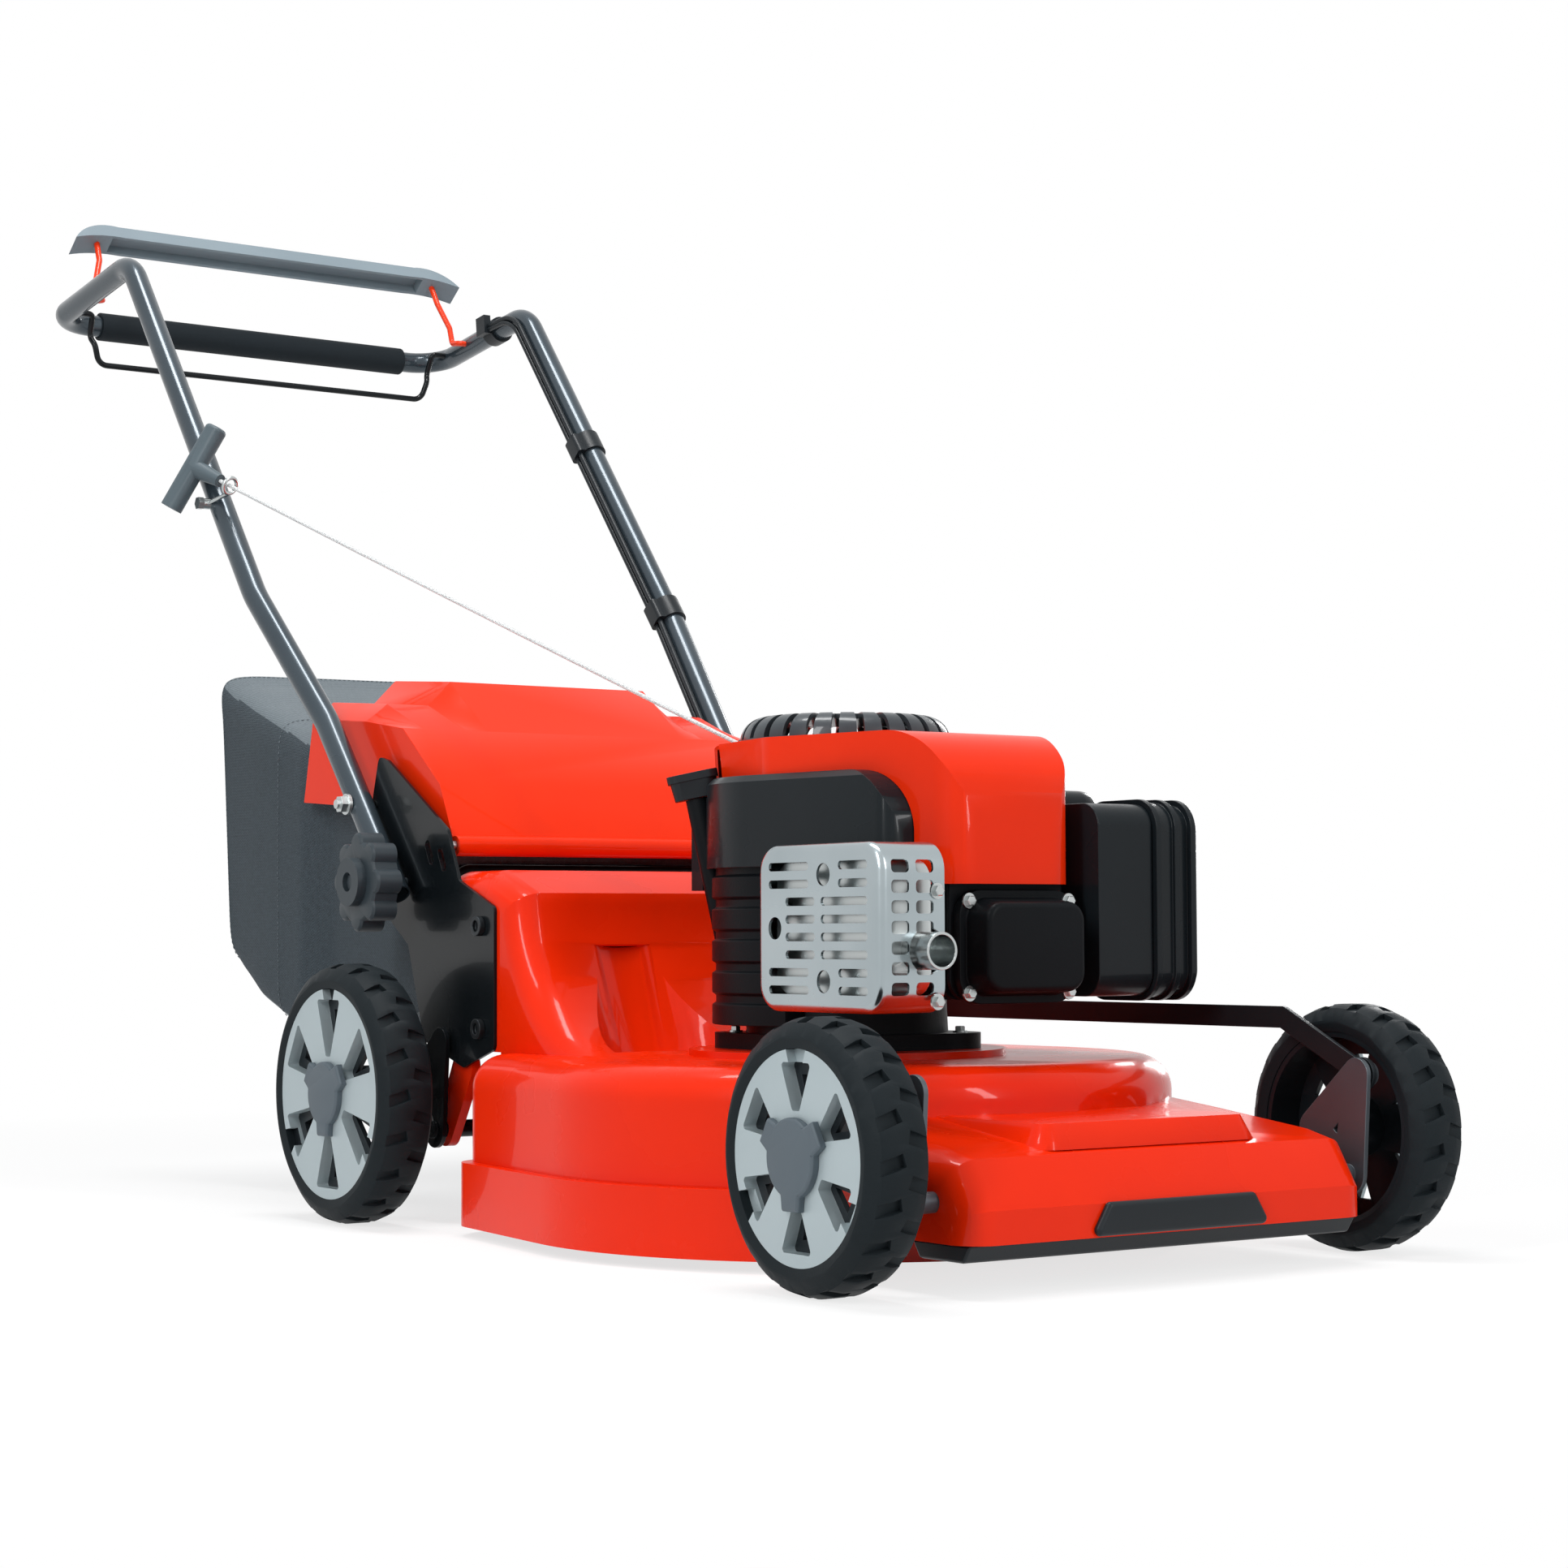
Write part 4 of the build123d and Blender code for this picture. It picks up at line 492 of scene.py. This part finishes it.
def makeBag(settings):
    work = loftShell(bagLoops(settings))
    sagCloth(work, settings)
    mesh = meshFrom(work, "collectorBag")
    mesh.shade_smooth()
    piece = linkPiece("collectorBag", mesh, materials["bagCloth"], "collector", ["collector_bag"])
    mesh.materials.append(materials["bagTrim"])
    # faces that look up or down get the lighter cloth: the real top panel plus a painted highlight of the lit top, and
    # the bottom faces take it too
    for face in mesh.polygons:
        if abs(face.normal.z) > settings["panel"]:
            face.material_index = 1
    addWall(piece, settings["wall"])
    smooth = piece.modifiers.new("smooth", "SUBSURF")
    smooth.levels = smooth.render_levels = 1
    return piece


collectorBag = makeBag(bag)


# one geometry node group that sets copies of a small unit on points, each turned along its own aim


def makeRepeatGroup():
    group = bpy.data.node_groups.new("repeatOnPoints", "GeometryNodeTree")
    sockets = {}
    for label, kind in (("Geometry", "NodeSocketGeometry"), ("Unit", "NodeSocketObject"), ("Size", "NodeSocketFloat"),
                        ("Material", "NodeSocketMaterial")):
        sockets[label] = group.interface.new_socket(label, in_out="INPUT", socket_type=kind).identifier
    group.interface.new_socket("Geometry", in_out="OUTPUT", socket_type="NodeSocketGeometry")
    start, end = group.nodes.new("NodeGroupInput"), group.nodes.new("NodeGroupOutput")
    aim = group.nodes.new("GeometryNodeInputNamedAttribute")
    aim.data_type = "FLOAT_VECTOR"
    aim.inputs["Name"].default_value = "aim"
    turn = group.nodes.new("FunctionNodeAlignRotationToVector")
    turn.axis = "Z"
    unit = group.nodes.new("GeometryNodeObjectInfo")
    place = group.nodes.new("GeometryNodeInstanceOnPoints")
    real = group.nodes.new("GeometryNodeRealizeInstances")
    paint = group.nodes.new("GeometryNodeSetMaterial")
    link = group.links.new
    link(start.outputs["Geometry"], place.inputs["Points"])
    link(start.outputs["Unit"], unit.inputs["Object"])
    link(unit.outputs["Geometry"], place.inputs["Instance"])
    link(aim.outputs["Attribute"], turn.inputs["Vector"])
    link(turn.outputs["Rotation"], place.inputs["Rotation"])
    link(start.outputs["Size"], place.inputs["Scale"])
    link(place.outputs["Instances"], real.inputs["Geometry"])
    link(real.outputs["Geometry"], paint.inputs["Geometry"])
    link(start.outputs["Material"], paint.inputs["Material"])
    link(paint.outputs["Geometry"], end.inputs["Geometry"])
    return group, sockets


repeatGroup, repeatSockets = makeRepeatGroup()
unitSharp = 35.0  # edges of a repeated unit stay sharp past this angle


def repeatPiece(name, spots, unitMesh, material, body):
    mesh = bpy.data.meshes.new(name + "Spots")
    mesh.from_pydata([spot for spot, aim in spots], [], [])
    aims = mesh.attributes.new("aim", "FLOAT_VECTOR", "POINT")
    for item, (spot, aim) in zip(aims.data, spots):
        item.vector = aim
    holder = addObject(name + "Holder", mesh)
    unit = addObject(name + "Unit", unitMesh)
    repeat = holder.modifiers.new("repeat", "NODES")
    repeat.node_group = repeatGroup
    for label, value in (("Unit", unit), ("Size", 1.0), ("Material", material)):
        repeat[repeatSockets[label]] = value
    final = evaluatedMesh(holder)
    for item in (holder, unit):
        bpy.data.objects.remove(item)
    shadeFrom(final, unitSharp)
    piece = linkPiece(name, final, material, body)


stitches = {"spacing": 5.0, "length": 3.2, "radius": 0.42, "lift": 0.5, "rows": (30, 44), "sides": 6, "bands": 4}


def stitchMesh(settings):
    radius, half = settings["radius"] * mm, settings["length"] * mm / 2
    work = bmesh.new()
    bmesh.ops.create_uvsphere(work, u_segments=settings["sides"], v_segments=settings["bands"], radius=1.0)
    bmesh.ops.scale(work, vec=Vector((radius, radius, half)), verts=work.verts)
    return meshFrom(work, "stitch")


def spotsAlong(path, normals, spacing, lift):
    spots = []
    travelled = 0.0
    for (a, first), (b, second) in zip(zip(path, normals), zip(path[1:], normals[1:])):
        step = (b - a).length
        while travelled < step:
            share = travelled / step
            spots.append((a.lerp(b, share) + first.lerp(second, share).normalized() * lift, (b - a).normalized()))
            travelled += spacing
        travelled -= step
    return spots


def makeStitches(settings):
    verts = collectorBag.data.vertices
    count = bag["around"]
    spots = []
    for row in settings["rows"]:  # loops of the bag, counted from its mouth
        ring = [verts[row * count + i] for i in range(count)]
        ring.append(ring[0])
        path, normals = [vert.co.copy() for vert in ring], [vert.normal.copy() for vert in ring]
        spots += spotsAlong(path, normals, settings["spacing"] * mm, settings["lift"] * mm)
    repeatPiece("bagStitches", spots, stitchMesh(settings), materials["bagTrim"], "collector")


makeStitches(stitches)
print("collector bag sewn")


bolts = {
    "radius": 4.0, "height": 4.5,
    "cones": [  # sides, lower and upper radius, middle and depth, as shares of the radius and the height above
        (24, 1.45, 1.4, 0.14, 0.28), (6, 1.0, 1.0, 0.6, 0.7), (6, 1.0, 0.82, 1.0, 0.12)],
    "flange": (333.0, 62.0, 157.0),  # middle, reach and height of the four foot bolts
    "valve": (531.0, (56.0, -36.0), (256.0, 190.0)),
    "guard": (582.0, -104.0, (186.0, 262.0)),
}


def boltMesh(settings):
    radius, height = settings["radius"] * mm, settings["height"] * mm
    work = bmesh.new()
    for sides, lower, upper, middle, depth in settings["cones"]:
        bmesh.ops.create_cone(work, cap_ends=True, segments=sides, radius1=radius * lower, radius2=radius * upper,
                              depth=height * depth, matrix=Matrix.Translation((0, 0, height * middle)))
    return meshFrom(work, "bolt")


def makeBolts(settings):
    middle, reach, height = settings["flange"]
    up, forward = Vector((0, 0, 1)), Vector((1, 0, 0))
    spots = [(atMm(middle + i * reach, j * reach, height), up) for i in (-1, 1) for j in (-1, 1)]
    x, across, heights = settings["valve"]
    spots += [(atMm(x, y, z), forward) for y in across for z in heights]
    x, y, heights = settings["guard"]
    spots += [(atMm(x, y, z), forward) for z in heights]
    repeatPiece("engineBolts", spots, boltMesh(settings), materials["zincSteel"], "chassis")


makeBolts(bolts)
print("bolts set")


# ribbed sheet that leads the cooling air down the side of the engine

baffle = {
    "middle": (333.0, 0.0), "radius": 104.0, "inner": 79.0, "span": (-150.0, -62.0), "heights": (164.0, 285.0),
    "segments": 36, "flare": 2.0,  # the returns at both ends flare by this angle
    "ribs": 5, "groove": 3.0, "land": 0.62, "slot": (0.70, 0.92),  # where a rib ends and its groove runs, in the pitch
    "sharp": 30.0, "edge": 0.6, "wall": 2.0,
}


def makeBaffle(settings):
    cx, cy = settings["middle"]
    low, high = settings["heights"]
    first, last = settings["span"]
    segments, flare, inner = settings["segments"], settings["flare"], settings["inner"]
    arc = [(settings["radius"], first + (last - first) * i / segments) for i in range(segments + 1)]
    plan = [(inner, first - flare)] + arc + [(inner, last + flare)]
    pitch = (high - low) / settings["ribs"]
    rib = [(0, 0), (settings["land"], 0)] + [(share, settings["groove"]) for share in settings["slot"]]
    levels = [(low + (i + share) * pitch, inset) for i in range(settings["ribs"]) for share, inset in rib]
    levels.append((high, 0))
    work = bmesh.new()
    rows = []
    for z, inset in levels:
        row = []
        for radius, degrees in plan:
            reach = radius - inset
            turn = math.radians(degrees)
            row.append(work.verts.new(atMm(cx + reach * math.cos(turn), cy + reach * math.sin(turn), z)))
        rows.append(row)
    for lower, upper in zip(rows, rows[1:]):
        for i in range(len(plan) - 1):
            work.faces.new((lower[i], lower[i + 1], upper[i + 1], upper[i]))
    mesh = meshFrom(work, "coolingBaffle")
    shadeFrom(mesh, settings["sharp"])
    piece = linkPiece("coolingBaffle", mesh, materials["castBlack"], "chassis")
    addWall(piece, settings["wall"])
    roundEdges(piece, settings["edge"])


makeBaffle(baffle)
print("baffle fitted")


# rope and cables, each on one smooth route

cordStyle = {"order": 3, "steps": 24, "roundness": 4}


def makeRoute(name, points):
    curve = bpy.data.curves.new(name, "CURVE")
    curve.dimensions = "3D"
    spline = curve.splines.new("NURBS")
    spline.points.add(len(points) - 1)
    for target, point in zip(spline.points, points):
        target.co = (*point, 1)
    spline.order_u = cordStyle["order"]
    spline.use_endpoint_u = True
    spline.resolution_u = cordStyle["steps"]
    return curve


def meshOf(curve):
    holder = addObject(curve.name + "Route", curve)
    mesh = evaluatedMesh(holder)
    bpy.data.objects.remove(holder)
    return mesh


def makeTube(name, points, radius, material):
    curve = makeRoute(name, points)
    path = [vert.co.copy() for vert in meshOf(curve).vertices]
    curve.bevel_depth = radius
    curve.bevel_resolution = cordStyle["roundness"]
    curve.use_fill_caps = True
    mesh = meshOf(curve)
    mesh.shade_smooth()
    mesh.materials.clear()
    mesh.materials.append(material)
    return addObject(name, mesh), path


rope = {"exit": (250.0, -42.0, 382.0), "eye": (-304.0, -229.0, 642.0), "radius": 1.75, "sag": 2.0, "tail": 14.0}


def makeRope(settings):
    start, end = atMm(*settings["exit"]), atMm(*settings["eye"])
    middle = (start + end) / 2 - Vector((0, 0, settings["sag"] * mm))
    radius = settings["radius"] * mm
    piece, path = makeTube("starterRope", [start, middle, end], radius, materials["ropeBraid"])
    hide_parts("starter_rope")
    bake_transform(piece)
    stop = end + (end - start).normalized() * settings["tail"] * mm
    tail = makeTube("ropeTail", [end, (end + stop) / 2, stop], radius, materials["ropeBraid"])[0]
    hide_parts("rope_tail")
    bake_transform(tail)


makeRope(rope)

cables = {
    "top": (-553.0, 893.0), "knee": (-262.0, 538.0), "foot": (-150.0, 417.0), "footY": 190.5, "kneeOut": 17.5,
    "lay": ((0.0, 23.0), (7.0, 13.0)),  # behind the tube, and how high the free end lies over the hinge
    "lead": 24.0, "hinge": (37.0, 306.0), "radius": 2.6,
    "route": [  # from the tube to the engine, x and z from the flap's hinge
        (-140.0, 186.0, 30.0), (-30.0, 186.0, -2.0), (60.0, 186.0, -3.0), (120.0, 140.0, -4.0), (238.0, 106.0, -12.0)],
}


def makeCableTails(settings):
    top, knee, foot = (Vector((x, 0, z)) for x, z in (settings["top"], settings["knee"], settings["foot"]))
    run = (knee - top).normalized()
    back = Vector((run.z, 0, -run.x))
    hingeX, hingeZ = settings["hinge"]
    radius = settings["radius"] * mm
    for index, (behind, lift) in enumerate(settings["lay"]):
        bend = knee + back * behind
        end = foot + back * behind
        bend.y, end.y = settings["footY"] + settings["kneeOut"], settings["footY"]
        lead = end + (end - bend).normalized() * settings["lead"]
        free = [Vector((hingeX + x, y, hingeZ + z + lift)) for x, y, z in settings["route"]]
        free[0].x -= behind
        points = [atMm(*stop) for stop in reversed([end, lead, *free])]
        piece, path = makeTube(f"cableTail{index}", points, radius, materials["blackPlastic"])
        if index == 0:
            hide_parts("cable_tails")
        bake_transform(piece)


makeCableTails(cables)
print("rope and cables strung")


# camera, floor and light

cameraSettings = {"place": (2218.5, -1364.5, 234.7), "aim": (248.97, 0.0, 352.16), "roll": -0.25, "lens": 69.03,
                  "sensor": 36.0, "far": 50.0}


def makeCamera(settings):
    place, aim = atMm(*settings["place"]), atMm(*settings["aim"])
    forward = (aim - place).normalized()
    right = forward.cross(Vector((0, 0, 1))).normalized()
    up = right.cross(forward)
    roll = math.radians(settings["roll"])
    turned = right * math.cos(roll) + up * math.sin(roll)
    up = up * math.cos(roll) - right * math.sin(roll)
    data = bpy.data.cameras.new("camera")
    data.lens = settings["lens"]
    data.sensor_width = settings["sensor"]
    data.clip_end = settings["far"]
    camera = addObject("camera", data)
    axes = Matrix((turned, up, -forward)).transposed().to_4x4()
    camera.matrix_world = Matrix.Translation(place) @ axes
    bpy.context.scene.camera = camera


studio = {
    "sky": (0.93, 0.95, 1.0), "skyStrength": 0.24, "white": (1.0, 1.0, 1.0),
    "floorSize": 30.0, "floorColor": (0.92, 0.92, 0.92),
    "fade": (0.72, 1.0), "fadeReach": (0.5, 1.5),  # the floor turns into the background between these distances
    "lampAim": (0.0, 0.0, 0.35),
}


def seenRays(tree):
    rays = tree.nodes.new("ShaderNodeLightPath")
    shiny = mathNode(tree, "MAXIMUM", rays.outputs["Is Glossy Ray"], rays.outputs["Is Transmission Ray"])
    return mathNode(tree, "MAXIMUM", rays.outputs["Is Camera Ray"], shiny)


def blendShaders(tree, factor, first, second, outputKind):
    mix = tree.nodes.new("ShaderNodeMixShader")
    output = tree.nodes.new(outputKind)
    tree.links.new(factor, mix.inputs["Fac"])
    tree.links.new(first.outputs[0], mix.inputs[1])
    tree.links.new(second.outputs[0], mix.inputs[2])
    tree.links.new(mix.outputs[0], output.inputs["Surface"])


def makeWorld(settings):
    world = bpy.data.worlds.new("studio")
    bpy.context.scene.world = world
    tree = emptyTree(world)
    soft = tree.nodes.new("ShaderNodeBackground")
    soft.inputs["Color"].default_value = (*settings["sky"], 1)
    soft.inputs["Strength"].default_value = settings["skyStrength"]
    pale = tree.nodes.new("ShaderNodeBackground")
    pale.inputs["Color"].default_value = (*settings["white"], 1)
    blendShaders(tree, seenRays(tree), soft, pale, "ShaderNodeOutputWorld")


def makeFloor(settings):
    half = settings["floorSize"] / 2
    mesh = bpy.data.meshes.new("floor")
    mesh.from_pydata([(-half, -half, 0), (half, -half, 0), (half, half, 0), (-half, half, 0)], [], [(0, 1, 2, 3)])
    floor = addObject("floor", mesh)
    material = bpy.data.materials.new("floorPale")
    tree = emptyTree(material)
    matt = tree.nodes.new("ShaderNodeBsdfDiffuse")
    matt.inputs["Color"].default_value = (*settings["floorColor"], 1)
    glow = tree.nodes.new("ShaderNodeEmission")
    place = tree.nodes.new("ShaderNodeTexCoord")
    reach = tree.nodes.new("ShaderNodeVectorMath")
    reach.operation = "LENGTH"
    tree.links.new(place.outputs["Object"], reach.inputs[0])
    fade = mapRange(tree, reach.outputs["Value"], *settings["fade"], *settings["fadeReach"])
    glowing = mathNode(tree, "MULTIPLY", seenRays(tree), fade)
    blendShaders(tree, glowing, matt, glow, "ShaderNodeOutputMaterial")
    mesh.materials.append(material)


lamps = {
    "keyLamp": {"place": (1.3, -2.4, 1.8), "size": (0.35, 2.0), "power": 44.0},
    "frontLamp": {"place": (3.0, 0.6, 1.5), "size": (0.25, 1.6), "power": 22.0},
    "topLamp": {"place": (0.1, -0.2, 2.7), "size": (1.6, 0.5), "power": 50.0},
    "backLamp": {"place": (-1.3, 2.7, 1.1), "size": (0.3, 1.4), "power": 24.0},
}


def makeLamp(name, settings):
    data = bpy.data.lights.new(name, "AREA")
    data.shape = "RECTANGLE"
    data.size, data.size_y = settings["size"]
    data.energy = settings["power"]
    lamp = addObject(name, data)
    lamp.location = settings["place"]
    aim = Vector(studio["lampAim"]) - lamp.location
    lamp.rotation_euler = aim.to_track_quat("-Z", "Y").to_euler()


makeCamera(cameraSettings)
makeWorld(studio)
makeFloor(studio)
for name, settings in lamps.items():
    makeLamp(name, settings)
bpy.context.scene.view_settings.view_transform = "Standard"
print("camera, floor and lamps set")
